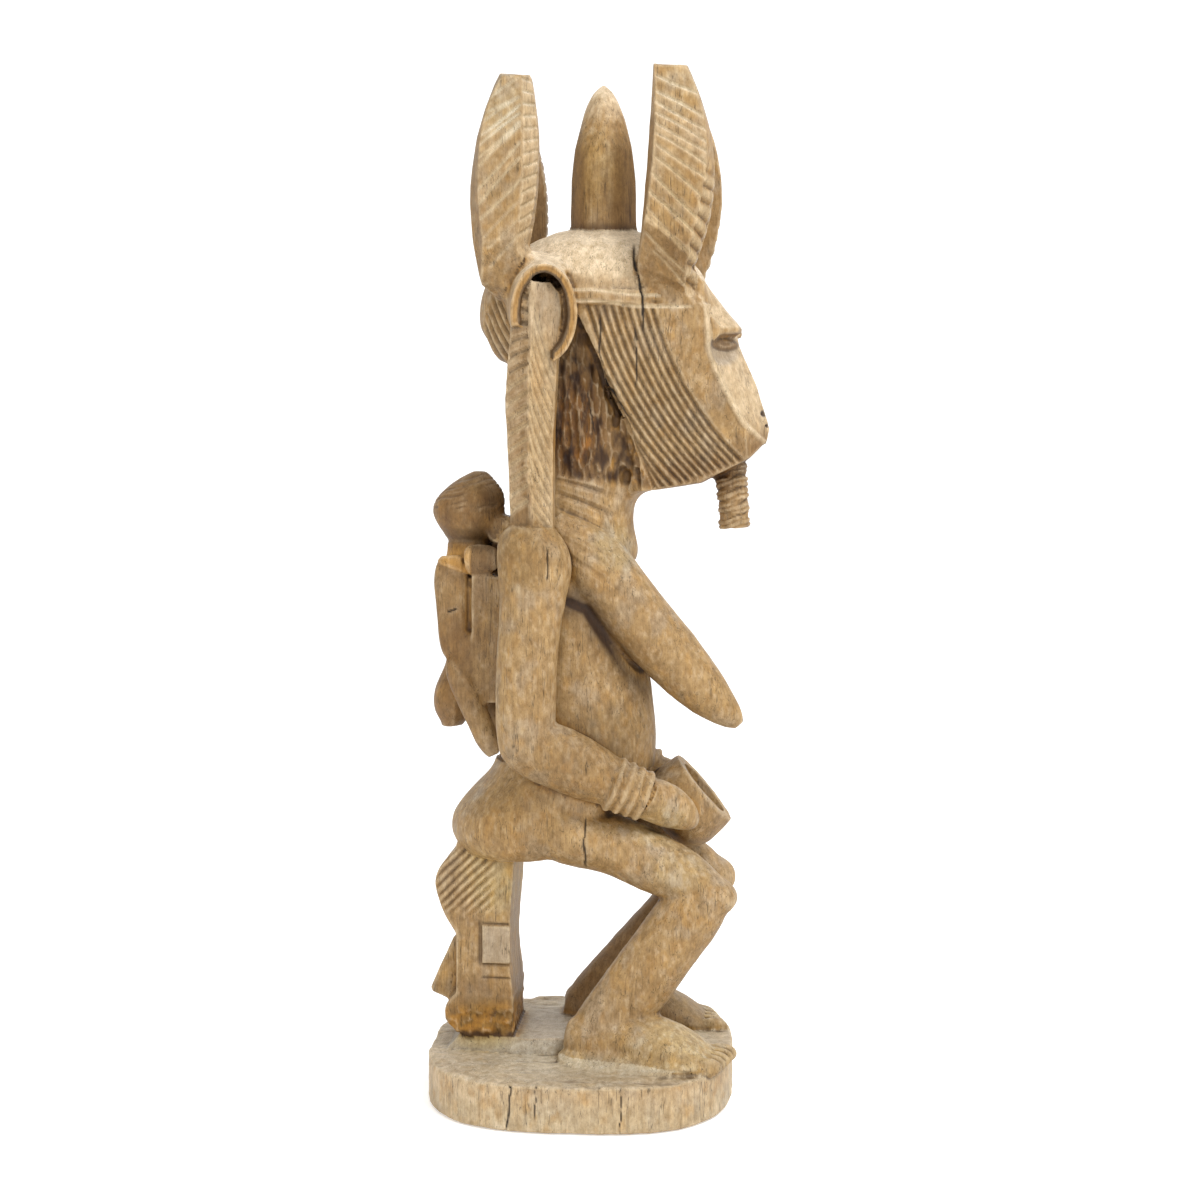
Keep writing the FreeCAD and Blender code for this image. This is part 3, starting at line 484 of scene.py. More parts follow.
def carve_braids():
    """Herringbone cuts on both sides of a ridge, from the hood to the straight end at the shoulder."""
    braid = Part(*both("braid"))
    low, high = BOXES["right_braid"]
    outer = smooth(0.1, 0.45, braid.ny)
    ridge = np.interp(braid.z, [501, 518, 542, 567, 599, 632, 661, 700],
                      [-35, -35, -38, -39, -38.5, -39, -35, -33])
    behind = smooth(1.0, -1.0, braid.x - ridge)
    for number in range(15):
        height = low[2] + 9 + 13.4 * number
        slope = np.interp(number, [0, 8, 11, 14], [0.82, 0.74, 0.4, 0.0])
        path = bowed((low[0] - 1, height), (low[0] + 21, height + slope * 18), 0.8)
        braid.cut(path, 3.6, 2.8, outer * behind, ends=0.0, fresh=0.8 if number < 9 else 0.4)
    for number in range(12):
        height = low[2] + 22 + 16.5 * number
        slope = np.interp(number, [0, 1, 3, 5, 8, 12], [1.2, 1.6, 2.1, 2.4, 2.5, 2.9])
        end = low[0] + 20 + 30 / (1 + 0.1 * slope), height + 3 - slope * 27
        path = bowed((low[0] + 20, height + 3), end, -1.5)
        braid.cut(path, 3.6, 3.0, outer * (1 - behind), ends=0.0, fresh=0.6)
    braid.raise_by(1.2 * np.exp(-((braid.x - ridge) / 4.0) ** 2) * outer)
    spot = smooth(9, 3, np.hypot((braid.x + 31) / 0.8, (braid.z - 628) / 3.2))
    braid.tint("ochre", 0.8 * spot * outer)
    braid.tint("brown", 0.6 * behind * outer * smooth(690, 650, braid.z))
    braid.tint("grey", 0.5 * smooth(low[2] + 150, low[2] + 175, braid.z))


def carve_cheeks():
    """Round ribs from the headband and the edge of the hair down to the jaw, behind a smooth strip along the
    face."""
    cheek = Part("face", "neck")
    side = smooth(0.1, 0.4, cheek.ny)
    starts = [(65 - 6.9 * number, 693) for number in range(9)] + [(15, 655), (28, 622), (43, 592), (57, 562)]
    ends = [(143 - 5.75 * number, 557 - 2.2 * number) for number in range(9)]
    ends += [(91, 538), (83, 535), (76, 533), (69, 531)]
    for number, (start, end) in enumerate(zip(starts, ends)):
        bow = -11 if number < 9 else -7 + 2 * (number - 9)
        cheek.cut(bowed(start, end, bow, 9), 3.1, 3.0, side, ends=0.03, dark=0.5)


def carve_recess():
    """The rough dark hollow between the braid and the jaw, its darkness partly painted shade."""
    neck = Part("neck", "face")
    back = np.interp(neck.z, [531, 545, 572, 600, 632, 660, 694], [66, 60, 48, 36, 23, 10, 2])
    hollow = smooth(3, -3, neck.x - back) * smooth(540, 550, neck.z + 0.12 * (neck.x + 20))
    hollow *= smooth(700, 650, neck.z)
    spots = POINTS[neck.where]
    chips = scoops(spots + [0, 0, 30], (6, 8, 15), 41)
    neck.lower(3.2 * hollow * (1 - chips ** 2))
    # Painted shade in the hollow, broken by rough flecks.
    neck.tint("brown", 0.85 * hollow)
    neck.tint("stain_and_shade", hollow * smooth(-0.25, 0.6, rough(spots, (6, 6, 16), 43)))
    flecks = smooth(0.15, 0.5, rough(spots, (5, 5, 12), 47))
    neck.tint("ochre", 0.8 * hollow * flecks * smooth(650, 570, neck.z))


def carve_chest():
    """Slanting strokes on the throat, and a painted shadow in the crease under the breast."""
    lower = Part("neck", "torso", *both("breast"))
    outer = smooth(0.1, 0.4, lower.ny)
    for number in range(7):
        height = 553 - 11.5 * number
        path = bowed((-26, height + 2), (28 + 3 * number, height - 9 - 6 * number), 2)
        lower.cut(path, 3.6, 2.0 if number < 4 else 1.1, outer, ends=0.3, dark=0.35 if number < 3 else 0.1)
    # Painted shadow in the crease under the breast.
    under = Part("torso", *both("breast"))
    facing = smooth(0.0, 0.3, under.ny) * smooth(0.3, -0.1, under.nz)
    crease = [(-18, 440), (8, 428), (38, 376), (56, 356), (66, 350)]
    for half, deep, dark in ((9, 2.2, 1.6), (22, 0.8, 0.7)):
        under.cut(crease, half, deep, facing, ends=0.1, dark=dark)


def carve_band():
    """Two pale lines round the head."""
    band = Part("headband", "cap", "face", "nape_hair")
    low, high = BOXES["headband"]
    for height in (high[2] + 0.5, low[2] + 2.5):
        gap = np.abs(band.z - height + 5 * smooth(5, 60, band.x))
        shape = np.clip(1 - gap / 2.0, 0, 1) * smooth(-14, 0, band.x) * smooth(104, 92, band.x)
        band.lower(1.4 * shape)
        band.tint("fresh", np.clip(shape * 1.8, 0, 1))


def carve_nape():
    """Curved locks behind the head."""
    nape = Part("nape_hair")
    outer = smooth(-0.9, -0.2, nape.ny)
    for number in range(7):
        top = (-74 - 3.2 * number, 712 - 7 * number)
        nape.cut(bowed(top, (top[0] + 27, top[1] - 52), -3), 2.4, 2.2, outer, ends=0.15, dark=0.6)


def carve_hoods():
    """Hoods, paler where they face up as a painted highlight, with painted shade in the hollow inside their
    ochre rims.
    """
    hood = Part(*both("hair_tube"))
    rim = BOXES["right_hair_tube"]
    centre = (rim[0][0] + rim[1][0]) / 2, rim[0][2] + 44
    turn = (hood.x - centre[0]) * hood.nx + (hood.z - centre[1]) * hood.nz
    inside = smooth(2, -4, turn) * smooth(62, 70, hood.y)
    # Painted highlight on the hoods' tops.
    hood.tint("pale", smooth(0.1, 0.6, hood.nz) * (1 - inside))
    hood.tint("ochre", 0.5 * smooth(0.5, 0.9, hood.ny) * (1 - inside))
    # Painted shade inside the hollow.
    hood.tint("stain_and_shade", 0.85 * inside)
    hood.tint("ochre", 0.8 * smooth(4, 1, np.abs(turn + 1)) * smooth(66, 72, hood.y))


def carve_cap():
    """Bare pale wood with shallow gouge marks, paler still as a painted highlight where it faces up."""
    cap = Part("cap")
    edge = 712 + 8 * rough(POINTS[cap.where], 18, 61)
    # Pale wood, with a painted highlight where the cap faces up.
    cap.tint("pale", 0.25 + 0.75 * smooth(-4, 8, cap.z - edge) * smooth(0.0, 0.4, cap.nz))
    cap.lower(1.1 * (1 - scoops(POINTS[cap.where], (24, 24, 18), 65) ** 2))


def carve_horn():
    """A pale tip, and dark streaks towards the foot."""
    horn = Part("centre_horn")
    foot = BOXES["centre_horn"][0][2]
    streaks = rough(POINTS[horn.where], (4, 4, 42), 63)
    lower = smooth(foot + 118, foot + 45, horn.z + 20 * streaks)
    sides = smooth(8, 20, np.abs(horn.x - 17)) + 0.4
    horn.tint("brown", np.clip(1.1 * lower * sides + 0.5 * streaks * lower, 0, 1))
    horn.tint("stain_and_shade", 0.55 * lower * smooth(0.2, 0.6, streaks) * sides)
    horn.tint("pale", 0.85 * smooth(foot + 92, foot + 128, horn.z - 14 * streaks))
    horn.tint("stain_and_shade", 0.6 * smooth(9, 2, horn.z - foot))


def carve_face():
    """A raised rim round the mask, an eyeball in a hollow under each lid, nostrils and a mouth's ends; painted
    shade in the eye hollows, the holes and under the lids, and painted highlights on the front of the face and
    the lids' tops.
    """
    face = Part("face")
    side = smooth(0.1, 0.5, face.ny)
    rim = [(117, 706), (113.5, 690), (113.5, 672), (114.4, 656), (120, 638), (132, 613), (144, 592),
           (156, 581), (166, 573)]
    gap, _ = near_path(face.x, face.z, rim)
    face.raise_by(2.0 * np.clip(1 - gap / 3.4, 0, 1) * side)
    face.tint("pale", 0.85 * np.clip(1.2 - gap / 3.2, 0, 1) * side)
    lid = BOXES["right_eyelid"]
    middle = (lid[0][0] + 20, lid[0][2] - 2)
    spot = np.hypot((face.x - middle[0]) / 10, (face.z - middle[1]) / 5)
    hollow = np.hypot((face.x - middle[0] + 2) / 15, (face.z - middle[1] + 6) / 15)
    beside = smooth(4, 10, face.y)
    face.lower(3.4 * smooth(1.0, 0.3, hollow) * beside)
    face.raise_by(2.6 * smooth(1.1, 0.4, spot) * beside)
    # Painted shade in the eye's hollow and round the eyeball.
    face.tint("stain_and_shade", 0.55 * smooth(0.75, 1.0, spot) * smooth(1.3, 1.1, spot) * beside)
    face.tint("grey", 0.8 * smooth(1.1, 0.7, hollow) * beside)
    face.tint("brown", 0.9 * smooth(1.2, 0.8, spot) * beside)
    # Painted shade in the nostril and the mouth's end.
    for across, up, size in ((163, 601, 3.4), (166, 590, 2.2)):
        hole = np.hypot(face.x - across, face.z - up) / size
        face.lower(3.2 * np.clip(1 - hole, 0, 1) * smooth(2, 5, face.y))
        face.tint("stain_and_shade", 0.95 * smooth(1.1, 0.6, hole) * smooth(1, 4, face.y))
    # Painted highlight on the front of the face.
    face.tint("pale", 0.6 * smooth(0.35, 0.8, face.nx) * smooth(570, 605, face.z))
    face.tint("brown", 0.35 * smooth(588, 572, face.z) * smooth(130, 142, face.x))
    lids = Part(*both("eyelid"))
    # Painted highlight on the lids' tops, and painted shade under them.
    lids.tint("pale", 0.55 * smooth(0.0, 0.5, lids.nz))
    lids.tint("brown", 0.8 * smooth(-0.2, -0.6, lids.nz))


def carve_beard():
    """Uneven rings, dark between them."""
    beard = Part("beard")
    spots = POINTS[beard.where]
    beard.raise_by(1.3 * rough(spots, (12, 12, 9), 121))
    slanted = np.mod(beard.z - 0.3 * (beard.x - 132) + 2.5 * noise(spots, 14, 123), 5.5) - 2.75
    beard.lower(1.2 * np.clip(1 - np.abs(slanted) / 1.4, 0, 1))
    beard.tint("brown", 0.35 + 0.3 * rough(spots, 9, 125))


def carve_child():
    """Scratched hair, darker wood all over, painted shadow on the neck, and a bright worn patch on the
    shoulder.
    """
    child = Part("child_head")
    spots = POINTS[child.where]
    level = child.z - 0.35 * child.x + 5 * noise(spots, 16, 71)
    line = np.abs(np.mod(level, 6.5) - 3.25)
    cut = smooth(508, 518, child.z) * smooth(-0.4, 0.3, noise(spots, 12, 73))
    child.lower(1.0 * np.clip(1 - line / 1.5, 0, 1) * cut)
    child.tint("grey", 0.8 * np.clip(1 - line / 1.6, 0, 1) * cut)
    limbs = both("child_arm") + both("child_leg") + both("child_hand")
    whole = Part("child_head", "child_body", "back_cloth", *limbs)
    spots = POINTS[whole.where]
    whole.tint("brown", np.clip(0.5 + 0.5 * rough(spots, (12, 12, 22), 77), 0, 1))
    # Painted shadow on the neck, under the head.
    whole.tint("stain_and_shade", 0.4 * smooth(502, 494, whole.z) * smooth(476, 484, whole.z))
    hair = smooth(-92, -76, whole.x) * smooth(500, 522, whole.z)
    whole.tint("stain_and_shade", 0.55 * hair * smooth(548, 524, whole.z))
    Part(*both("child_hand")).tint("brown", 0.9)
    shoulder = Part("child_body", *both("child_arm"), *both("child_hand"))
    edge = np.interp(shoulder.x, [-130, -124, -97, -84], [472, 467, 457, 451])
    patch = smooth(edge - 0.5, edge + 1.5, shoulder.z) * smooth(487, 484, shoulder.z)
    patch *= smooth(-94, -97, shoulder.x) * smooth(0.0, 0.3, shoulder.ny)
    shoulder.tint("ochre", patch)
    shoulder.raise_by(patch)


def carve_stool_roll():
    """Slanting cuts on the roll and the top of the post."""
    roll = Part("stool_roll", "stool_post")
    outer = smooth(0.2, 0.6, roll.ny)
    top = BOXES["stool_roll"][1][2]
    slanted = roll.z - 0.95 * (roll.x + 118) + 1.5 * noise(POINTS[roll.where], 25, 89)
    wave = np.abs(np.mod(slanted, 8.6) / 4.3 - 1)
    zone = smooth(top - 64, top - 46, roll.z) * smooth(top + 6, top - 2, roll.z) * smooth(-60, -88, roll.x)
    roll.lower(1.5 * outer * zone * smooth(0.2, 1.0, wave))
    roll.tint("brown", 0.5 * outer * zone * smooth(0.4, 0.9, wave) * smooth(-92, -108, roll.x))
    roll.tint("pale", 0.35 * outer * zone * smooth(0.5, 0.1, wave) * smooth(-110, -96, roll.x))


def carve_stool_foot():
    """A pitted and blackened foot on the post."""
    foot = Part("stool_foot", "stool_post")
    spots = POINTS[foot.where]
    pits = scoops(spots, (6, 6, 8), 81)
    low = BOXES["stool_foot"][0][2]
    zone = smooth(low + 34, low + 16, foot.z + 5 * noise(spots, 16, 82))
    foot.lower(1.7 * zone * (1 - pits ** 2))
    foot.tint("brown", 0.6 * smooth(low + 60, low + 30, foot.z + 9 * noise(spots, 20, 84)))
    foot.tint("ochre", 0.85 * zone * smooth(-0.5, 0.4, rough(spots, 8, 83)))
    foot.tint("stain_and_shade", 0.9 * smooth(low + 6, low + 1, foot.z + 2.5 * noise(spots, 6, 85)))
    foot.tint("stain_and_shade", 0.7 * zone * smooth(0.3, 0.75, rough(spots, 5, 88)))


def carve_stool_patch():
    """A small pale square in the post's side, in a frame of knife lines."""
    post = Part("stool_post", "stool_patch")
    patch_low, patch_high = BOXES["stool_patch"]
    side = smooth(0.4, 0.8, post.ny) * post.near
    for left in (patch_low[0] - 3.5, patch_low[0] - 1.5):
        post.cut([(left, patch_low[2] - 3), (left, patch_high[2] + 6)], 1.1, 0.9, side, ends=0.1, dark=0.9)
    for height in (patch_high[2] + 2.5, patch_low[2] - 1.5, patch_low[2] - 13):
        path = [(patch_low[0] - 2, height), (patch_high[0], height - 0.6)]
        post.cut(path, 1.4, 1.1, side, ends=0.1, dark=0.9)
    inside = smooth(-1, 1, post.x - patch_low[0]) * smooth(1, -1, post.x - patch_high[0])
    inside *= smooth(-1, 1, post.z - patch_low[2]) * smooth(1, -1, post.z - patch_high[2]) * side
    post.tint("grey", 0.7 * inside)
    post.tint("pale", 0.35 * inside)


def carve_base():
    """Weathered end grain: faint rough lines on top, and uneven facets and checks down the side."""
    base = Part("base", "stool_plinth")
    spots = POINTS[base.where]
    top = BOXES["base"][1][2]
    on_top = smooth(0.6, 0.9, base.nz)
    on_side = smooth(0.7, 0.4, np.abs(base.nz)) * smooth(top + 1, top - 2, base.z)
    grain = rough(spots, (40, 7, 20), 91)
    base.lower(0.9 * on_top * smooth(0.2, 0.8, grain))
    base.tint("pale", 0.5 + 0.2 * noise(spots, 40, 93))
    base.tint("grey", on_top * (0.3 + 0.3 * grain))
    base.tint("stain_and_shade", 0.25 * on_top * smooth(0.5, 0.8, grain))
    angle = np.arctan2(spots[:, 1], spots[:, 0])
    facet = np.abs(np.mod(angle / (2 * math.pi) * 26 + 0.6 * noise(spots, 60, 95), 1) - 0.5) * 2
    base.lower(1.8 * on_side * (1 - facet ** 2) * (0.6 + 0.4 * noise(spots, 50, 96)))
    base.lower(1.0 * on_side * (1 - scoops(spots, (18, 18, 15), 97) ** 2))
    rim = smooth(3, 9, np.hypot(spots[:, 0], spots[:, 1]) - 122) * smooth(top - 8, top - 1, base.z)
    base.raise_by(-1.6 * rim * smooth(-0.3, 0.5, rough(spots, (22, 22, 40), 98)))
    base.tint("ochre", 0.45 * on_side * smooth(0.1, 0.7, rough(spots, (9, 9, 14), 99)))
    base.tint("grey", 0.5 * on_side * smooth(0.1, 0.6, rough(spots, (26, 26, 40), 101)))


def carve_plinth():
    """Rough sides and notches on the ridge of wood between the stool and the feet."""
    spine = Part("stool_plinth")
    steep = smooth(0.9, 0.6, spine.nz)
    rough_side = 1 - scoops(POINTS[spine.where], (11, 11, 16), 102) ** 2
    spine.lower(1.4 * rough_side * (0.35 + 0.65 * steep))
    notch = smooth(0.55, 0.9, noise(POINTS[spine.where], (9, 60, 60), 104))
    spine.lower(2.2 * notch * steep)
    spine.tint("grey", 0.75)
    spine.tint("stain_and_shade", 0.7 * notch * steep)


def carve_legs():
    """Pointed knees, painted shade over the far left leg, and grooves between the toes."""
    knee = Part(*both("thigh"), *both("shin"))
    spot = np.hypot(knee.x - 137, knee.z - 183)
    knee.raise_by(7 * smooth(24, 0, spot) * smooth(0.1, 0.8, knee.nx))
    # Painted shade: the far leg is darker.
    Part("left_shin", "left_foot").tint("brown", 0.8)
    foot = Part(*both("foot"), *both("toes"))
    for name in both("toes"):
        low, high = BOXES[name]
        here = foot.near == (name[0] == "r")
        inner, outer = sorted((abs(low[1]), abs(high[1])))
        for number in range(1, 5):
            across = inner + (outer - inner) * number / 5
            path = [(high[0] - 22, across + 0.5), (high[0] + 4, across)]
            foot.cut(path, 2.2, 2.6, here * smooth(0.1, 0.5, foot.nz), v=foot.y, ends=0.1, dark=0.8)


def carve_cracks():
    """Drying checks that run down through the forms."""
    head = ("cap", "headband", "face", "right_front_crest")
    cheek = ("face", "headband")
    # The nodes that each one crosses, its path seen from the side in mm, and half its width.
    checks = [
        (head, [(48.5, 752), (50, 743), (50.8, 727), (55.8, 710), (58.3, 694), (57.6, 680), (58.5, 664)],
         1.3),
        (cheek, [(22.4, 691), (20.7, 675), (20.4, 650), (21.6, 631), (34, 611), (49, 590)], 1.0),
        (cheek, [(51, 677), (52, 656), (51.4, 618)], 0.8),
        (["neck"], [(8, 622), (12, 600), (15, 580)], 0.9),
        (["right_thigh", "pelvis"], [(9, 252), (8.2, 235), (9, 218), (8.4, 204)], 0.8),
        (["right_child_arm"], [(-117, 425), (-108, 428)], 0.8),
        (["right_upper_arm"], [(-21, 484), (-20, 468), (-21, 455)], 0.6),
        (["base"], [(-50, 46), (-49, 30), (-51, 14), (-53, -2)], 1.0),
        (["base"], [(43, 42), (44, 20), (42, -2)], 0.6),
        (["base"], [(-27, 42), (-28, 10)], 0.5),
    ]
    for names, path, half in checks:
        part = Part(*names)
        gap, share = near_path(part.x + 0.9 * noise(POINTS[part.where], 7, 103), part.z, path)
        taper = smooth(0, 0.12, share) * smooth(1.0, 0.85, share)
        weight = part.near * smooth(0.0, 0.3, part.ny) * taper
        part.lower(2.4 * weight * np.clip(1 - gap / (half * 1.3), 0, 1))
        part.tint("crack", weight * smooth(half * 1.2, half * 0.4, gap))


for work in (carve_front_crests, carve_back_crests, carve_braids, carve_cheeks, carve_recess, carve_chest,
             carve_band, carve_nape, carve_hoods, carve_cap, carve_horn, carve_face, carve_beard, carve_child,
             carve_stool_roll, carve_stool_foot, carve_stool_patch, carve_base, carve_plinth, carve_legs,
             carve_cracks):
    work()


# ---- tool marks all over, and the hollows and edges for wear and painted light ----

def neighbour_mean(values):
    """Each point's mean over the points that share an edge with it."""
    total, count = np.zeros_like(values), np.zeros(len(values))
    for a, b in ((0, 1), (1, 2), (2, 3), (3, 0)):
        for one, other in ((a, b), (b, a)):
            for axis in range(3):
                total[:, axis] += np.bincount(QUADS[:, one], values[QUADS[:, other], axis], len(values))
            count += np.bincount(QUADS[:, one], minlength=len(values))
    return total / count[:, None]


DEPTH += 0.6 * (1 - scoops(POINTS, (13, 13, 24), 5) ** 2) + 0.25 * rough(POINTS, (30, 30, 60), 7, 2)
POINTS = POINTS + NORMALS * (RELIEF - DEPTH)[:, None]
NORMALS = point_normals(POINTS, QUADS)

# How far each point lies under the mean of the skin around it, in mm: more than 0 in a cut, less on an edge.
relaxed = POINTS
for _ in range(8):
    relaxed = neighbour_mean(relaxed)
HOLLOW = ((relaxed - POINTS) * NORMALS).sum(axis=1)
EDGE = smooth(0.12, 0.5, -HOLLOW)


# ---- colour ----

# The kinds of wood surface, as linear shares of red, green and blue. The dark stain also serves as painted
# shade, brown does too in places, and pale serves as a painted highlight.
WOODS = {"tan": (0.375, 0.24, 0.103), "fresh": (0.62, 0.49, 0.32), "pale": (0.68, 0.54, 0.36),
         "grey": (0.36, 0.285, 0.2), "ochre": (0.45, 0.24, 0.06), "brown": (0.2, 0.112, 0.042),
         "stain_and_shade": (0.045, 0.02, 0.006), "crack": (0.015, 0.009, 0.005)}

# Patches of age all over: their size in mm, their seed, their wood and how strong they are.
PATCHES = [((14, 14, 22), 11, "grey", 0.5), ((6, 6, 11), 17, "ochre", 0.35),
           ((30, 30, 60), 23, "brown", 0.22), ((4, 4, 7), 29, "brown", 0.3),
           ((3.5, 3.5, 6), 31, "pale", 0.25)]


def mixed(colours, wood, share):
    """The colours with a share of one of WOODS mixed in."""
    return colours + (np.array(WOODS[wood]) - colours) * share[:, None]


def painted():
    """The colour of each point of the finished relief, painted shade and highlights included."""
    colours = np.tile(WOODS["tan"], (len(POINTS), 1))
    for size, seed, wood, most in PATCHES:
        colours = mixed(colours, wood, most * smooth(-0.05, 0.6, rough(POINTS, size, seed)))
    corners = np.maximum(smooth(0.1, 0.6, TIGHT), smooth(0.3, 0.9, HIDDEN))
    # Cuts and corners go dark: painted shade, with dirt in the corners.
    dirt_and_corner_shade = smooth(0.45, 1.05, TIGHT + 0.35 * HIDDEN) * smooth(20, 75, POINTS[:, 2])
    tints = dict(TINTS, ochre=np.maximum(TINTS["ochre"], 0.6 * corners))
    tints["stain_and_shade"] = np.maximum.reduce([TINTS["stain_and_shade"], 0.7 * smooth(0.2, 0.9, HOLLOW), 0.85 * dirt_and_corner_shade])
    tints["stain_and_shade"] *= 1 - 0.85 * np.clip(TINTS["fresh"], 0, 1)
    for wood in MIXED:
        colours = mixed(colours, wood, np.clip(tints[wood], 0, 1))
    # Painted shade: hidden places and undersides are darker and warmer. Painted highlight: what faces up is a
    # little paler.
    shade = 0.34 * HIDDEN + 0.22 * smooth(0.0, -0.8, NORMALS[:, 2])
    colours *= 1 - shade[:, None] * (0.95, 1.12, 1.5)
    colours *= 0.965 + smooth(0.2, 0.9, NORMALS[:, 2])[:, None] * (0.05, 0.1, 0.2)
    # The wood's own tone and painted light and shade, place by place.
    for middle, half, shares in TONES_AND_PAINTED_LIGHT.values():
        gaps = np.column_stack([POINTS[:, 0], np.abs(POINTS[:, 1]), POINTS[:, 2]]) - middle
        weight = smooth(1.0, 0.4, np.linalg.norm(gaps / half, axis=1))
        colours *= 1 + weight[:, None] * (np.array(shares) - 1)
    # Sharp edges turn paler: wear, and a painted highlight where they catch the light.
    edge_wear_and_highlight = 0.5 * EDGE * (1 - np.clip(tints["stain_and_shade"], 0, 1)) * (0.6 + 0.4 * noise(POINTS, 6, 37))
    return mixed(colours, "fresh", edge_wear_and_highlight)


COLOURS = painted()


def wood_material(name):
    """Waxed old wood: the carving's colours, painted shade and highlights among them, under fine upright grain,
    specks, hairlines and pits.
    """
    material = bpy.data.materials.new(name)
    material.use_nodes = True
    nodes, links = material.node_tree.nodes, material.node_tree.links
    nodes.clear()

    def add(kind, inputs=(), **settings):
        node = nodes.new(kind)
        for key, value in settings.items():
            setattr(node, key, value)
        for key, value in dict(inputs).items():
            if isinstance(value, bpy.types.NodeSocket):
                links.new(value, node.inputs[key])
            else:
                node.inputs[key].default_value = value
        return node

    def texture(scale, detail, roughness=0.6):
        """Noise with this many waves to the metre on each axis."""
        stretched = add("ShaderNodeMapping", {"Vector": spot, "Scale": scale}).outputs["Vector"]
        return add("ShaderNodeTexNoise", {"Vector": stretched, "Scale": 1.0, "Detail": detail,
                                          "Roughness": roughness}).outputs["Fac"]

    def between(value, low, high, dark, light):
        """The value from low to high turned into a number from dark to light."""
        return add("ShaderNodeMapRange", {"Value": value, "From Min": low, "From Max": high, "To Min": dark,
                                          "To Max": light}).outputs["Result"]

    def calculated(operation, *numbers):
        return add("ShaderNodeMath", dict(enumerate(numbers)), operation=operation).outputs[0]

    def times(one, other):
        return calculated("MULTIPLY", one, other)

    spot = add("ShaderNodeTexCoord").outputs["Object"]
    paint = add("ShaderNodeAttribute", attribute_name="wood", attribute_type="GEOMETRY").outputs["Color"]
    mottle = texture((150, 150, 95), 7.0, 0.74)
    fibres = texture((620, 620, 34), 4.0, 0.7)
    specks = texture((900, 900, 420), 2.0)
    broad = texture((45, 45, 24), 3.0)
    contour = calculated("ABSOLUTE", calculated("SUBTRACT", texture((230, 230, 11), 2.0, 0.5), 0.5))
    hairlines = calculated("MAXIMUM", between(contour, 0.0, 0.013, 0.35, 1.0),
                           between(broad, 0.46, 0.52, 1.0, 0.0))
    grain = times(between(fibres, 0.3, 0.7, 0.84, 1.12), between(specks, 0.28, 0.42, 0.7, 1.0))
    fine = times(grain, hairlines)
    ranges = {"Red": (0.7, 1.19), "Green": (0.64, 1.2), "Blue": (0.54, 1.22)}
    channels = {name: times(between(mottle, 0.34, 0.66, *ends), fine) for name, ends in ranges.items()}
    tone = add("ShaderNodeCombineColor", channels).outputs["Color"]
    shade = add("ShaderNodeMix", {0: 1.0, 6: paint, 7: tone}, data_type="RGBA",
                blend_type="MULTIPLY").outputs[2]
    height = calculated("ADD", calculated("ADD", times(fibres, 0.6), times(specks, 0.5)), times(mottle, 0.9))
    bump = add("ShaderNodeBump", {"Strength": 0.55, "Distance": 0.0007, "Height": height}).outputs["Normal"]
    gloss = between(mottle, 0.3, 0.7, 0.46, 0.68)
    shader = add("ShaderNodeBsdfPrincipled", {"Base Color": shade, "Roughness": gloss, "Normal": bump,
                                              "Specular IOR Level": 0.3})
    add("ShaderNodeOutputMaterial", {"Surface": shader.outputs["BSDF"]})
    return material


# ---- one closed piece for each node ----

def face_owners():
    """The node of each face: its second and third corners' where they agree, or else its first corner's."""
    first, second, third = OWNER[QUADS[:, :3]].T
    return np.where(second == third, second, first)


def boundary_loops(quads):
    """The closed loops of the edges that only one face has, each the way its faces go round."""
    edges = np.concatenate([quads[:, [a, (a + 1) % 4]] for a in range(4)])
    size = edges.max() + 1
    forward = edges[:, 0] * size + edges[:, 1]
    backward = edges[:, 1] * size + edges[:, 0]
    open_edges = edges[~np.isin(forward, backward)]
    after = {}
    for a, b in open_edges.tolist():
        after.setdefault(a, []).append(b)
    loops = []
    while after:
        start = next(iter(after))
        loop, here = [], start
        while here in after:
            following = after[here].pop()
            if not after[here]:
                del after[here]
            loop.append(here)
            here = following
            if here in loop[:-1] and here != start:
                cut_at = loop.index(here)
                loops.append(loop[cut_at:])
                loop = loop[:cut_at]
            if here == start:
                break
        if len(loop) > 2:
            loops.append(loop)
    return loops


def closing(loop, used, count):
    """What closes an open loop: a lip's points that go into the wood, one in their middle, and triangles."""
    lip = POINTS[used[loop]] - LIP * NORMALS[used[loop]]
    middle = lip.mean(axis=0)
    inwards = NORMALS[used[loop]].mean(axis=0) * np.linalg.norm(lip - middle, axis=1).mean()
    triangles = []
    for place, a in enumerate(loop):
        following = (place + 1) % len(loop)
        b, under_a, under_b = loop[following], count + place, count + following
        triangles += [(b, a, under_a), (b, under_a, under_b), (under_b, under_a, count + len(loop))]
    return np.vstack([lip, middle - 0.5 * inwards]), triangles


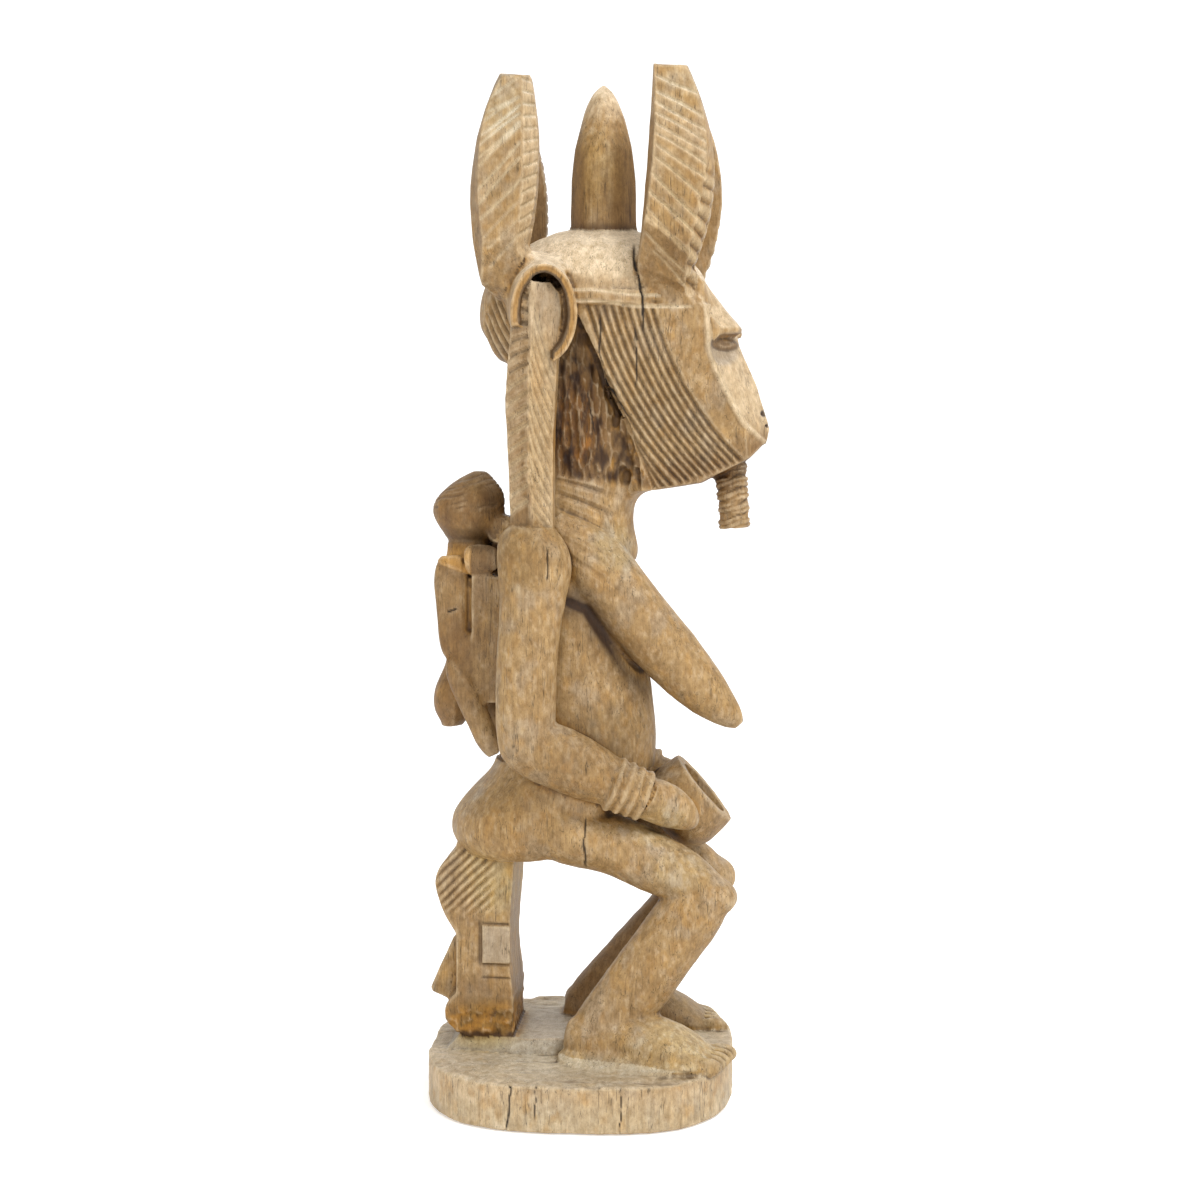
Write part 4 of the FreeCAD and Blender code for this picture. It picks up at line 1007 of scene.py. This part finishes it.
def make_piece(name, quads, material):
    """A closed piece of the skin: its faces, with each open loop closed under the neighbouring pieces."""
    used, local = np.unique(quads, return_inverse=True)
    local = local.reshape(-1, 4)
    points, triangles = POINTS[used], []
    for loop in boundary_loops(local):
        more_points, more_triangles = closing(loop, used, len(points))
        points = np.vstack([points, more_points])
        triangles += more_triangles
    added = len(points) - len(used)
    normals = np.vstack([NORMALS[used], np.tile((0.0, 0.0, 1.0), (added, 1))])
    shades = np.vstack([COLOURS[used], np.tile(WOODS["brown"], (added, 1))])
    mesh = bpy.data.meshes.new(name)
    mesh.vertices.add(len(points))
    mesh.vertices.foreach_set("co", (points * MM).astype(np.float32).ravel())
    corners = np.concatenate([local.ravel(), np.array(triangles, int).ravel()]).astype(np.int32)
    sizes = np.concatenate([np.full(len(local), 4), np.full(len(triangles), 3)])
    mesh.loops.add(len(corners))
    mesh.loops.foreach_set("vertex_index", corners)
    mesh.polygons.add(len(sizes))
    mesh.polygons.foreach_set("loop_start", (np.cumsum(sizes) - sizes).astype(np.int32))
    mesh.polygons.foreach_set("use_smooth", np.ones(len(sizes), bool))
    mesh.update(calc_edges=True)
    paint = mesh.color_attributes.new("wood", "FLOAT_COLOR", "POINT")
    with_alpha = np.column_stack([shades, np.ones(len(shades))])
    paint.data.foreach_set("color", with_alpha.astype(np.float32).ravel())
    mesh.normals_split_custom_set_from_vertices(normals.astype(np.float32).tolist())
    mesh.materials.append(material)
    piece = bpy.data.objects.new(name, mesh)
    bpy.context.scene.collection.objects.link(piece)
    return piece


MATERIALS = {slot: wood_material(slot) for slot in sorted(set(SLOTS.values()))}
FACE_OWNER = face_owners()
for number, node in enumerate(NAMES):
    piece = make_piece("carved_" + node, QUADS[FACE_OWNER == number], MATERIALS[SLOTS[node]])
    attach(piece, "root")
    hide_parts(node)


# ---- floor, light and camera ----

def plain_material(name, shade, glow):
    """Matt paper of one grey, which gives off a little light of its own."""
    material = bpy.data.materials.new(name)
    material.use_nodes = True
    shader = material.node_tree.nodes["Principled BSDF"]
    shader.inputs["Base Color"].default_value = (shade, shade, shade, 1)
    shader.inputs["Roughness"].default_value = 0.9
    shader.inputs["Emission Color"].default_value = (1, 1, 1, 1)
    shader.inputs["Emission Strength"].default_value = glow
    return material


def studio_sheet(name, size, place, tilt, material):
    """A square sheet, flat or tilted about X."""
    bpy.ops.mesh.primitive_plane_add(size=size, location=place, rotation=(tilt, 0, 0))
    sheet = bpy.context.active_object
    sheet.name = name
    sheet.data.materials.append(material)


def area_light(name, place, size, power, warmth=1.0):
    """A square lamp that points at the figure: its size in m, its power in W, and its share of blue."""
    light = bpy.data.lights.new(name, "AREA")
    light.size = size
    light.energy = power
    light.color = (1.0, 0.5 + 0.5 * warmth, warmth)
    lamp = bpy.data.objects.new(name, light)
    lamp.location = place
    lamp.rotation_euler = (AIM - Vector(place)).to_track_quat("-Z", "Y").to_euler()
    bpy.context.scene.collection.objects.link(lamp)


floor_paper = plain_material("floor_paper", 0.96, 0.34)
backdrop_paper = plain_material("backdrop_paper", 0.3, 1.0)
studio_sheet("studio_floor", 30, (0, 0, packed_low.z - 0.0005), 0, floor_paper)
studio_sheet("studio_backdrop", 60, (0, 14.9, 0), math.radians(90), backdrop_paper)
area_light("key", (1.2, -1.2, 2.6), 1.0, 44, 0.97)
area_light("front", (0.15, -2.35, 1.4), 0.8, 11)
area_light("fill", (-1.8, -2.2, 1.2), 2.2, 5)
area_light("back", (0.6, 2.4, 1.8), 2.0, 12)

world = bpy.data.worlds.new("studio")
world.use_nodes = True
background = world.node_tree.nodes["Background"]
background.inputs["Color"].default_value = (1.0, 1.0, 1.0, 1)
background.inputs["Strength"].default_value = 0.66
bpy.context.scene.world = world
bpy.context.scene.view_settings.view_transform = "Standard"

camera = bpy.data.cameras.new("camera")
camera.sensor_width = SENSOR
camera.lens = LENS
camera.shift_y = SHIFT
viewer = bpy.data.objects.new("camera", camera)
viewer.location = (AXIS_X + DISTANCE * math.sin(TURN), -DISTANCE * math.cos(TURN), EYE_HEIGHT)
viewer.rotation_euler = (math.radians(90), 0, TURN)
bpy.context.scene.collection.objects.link(viewer)
bpy.context.scene.camera = viewer
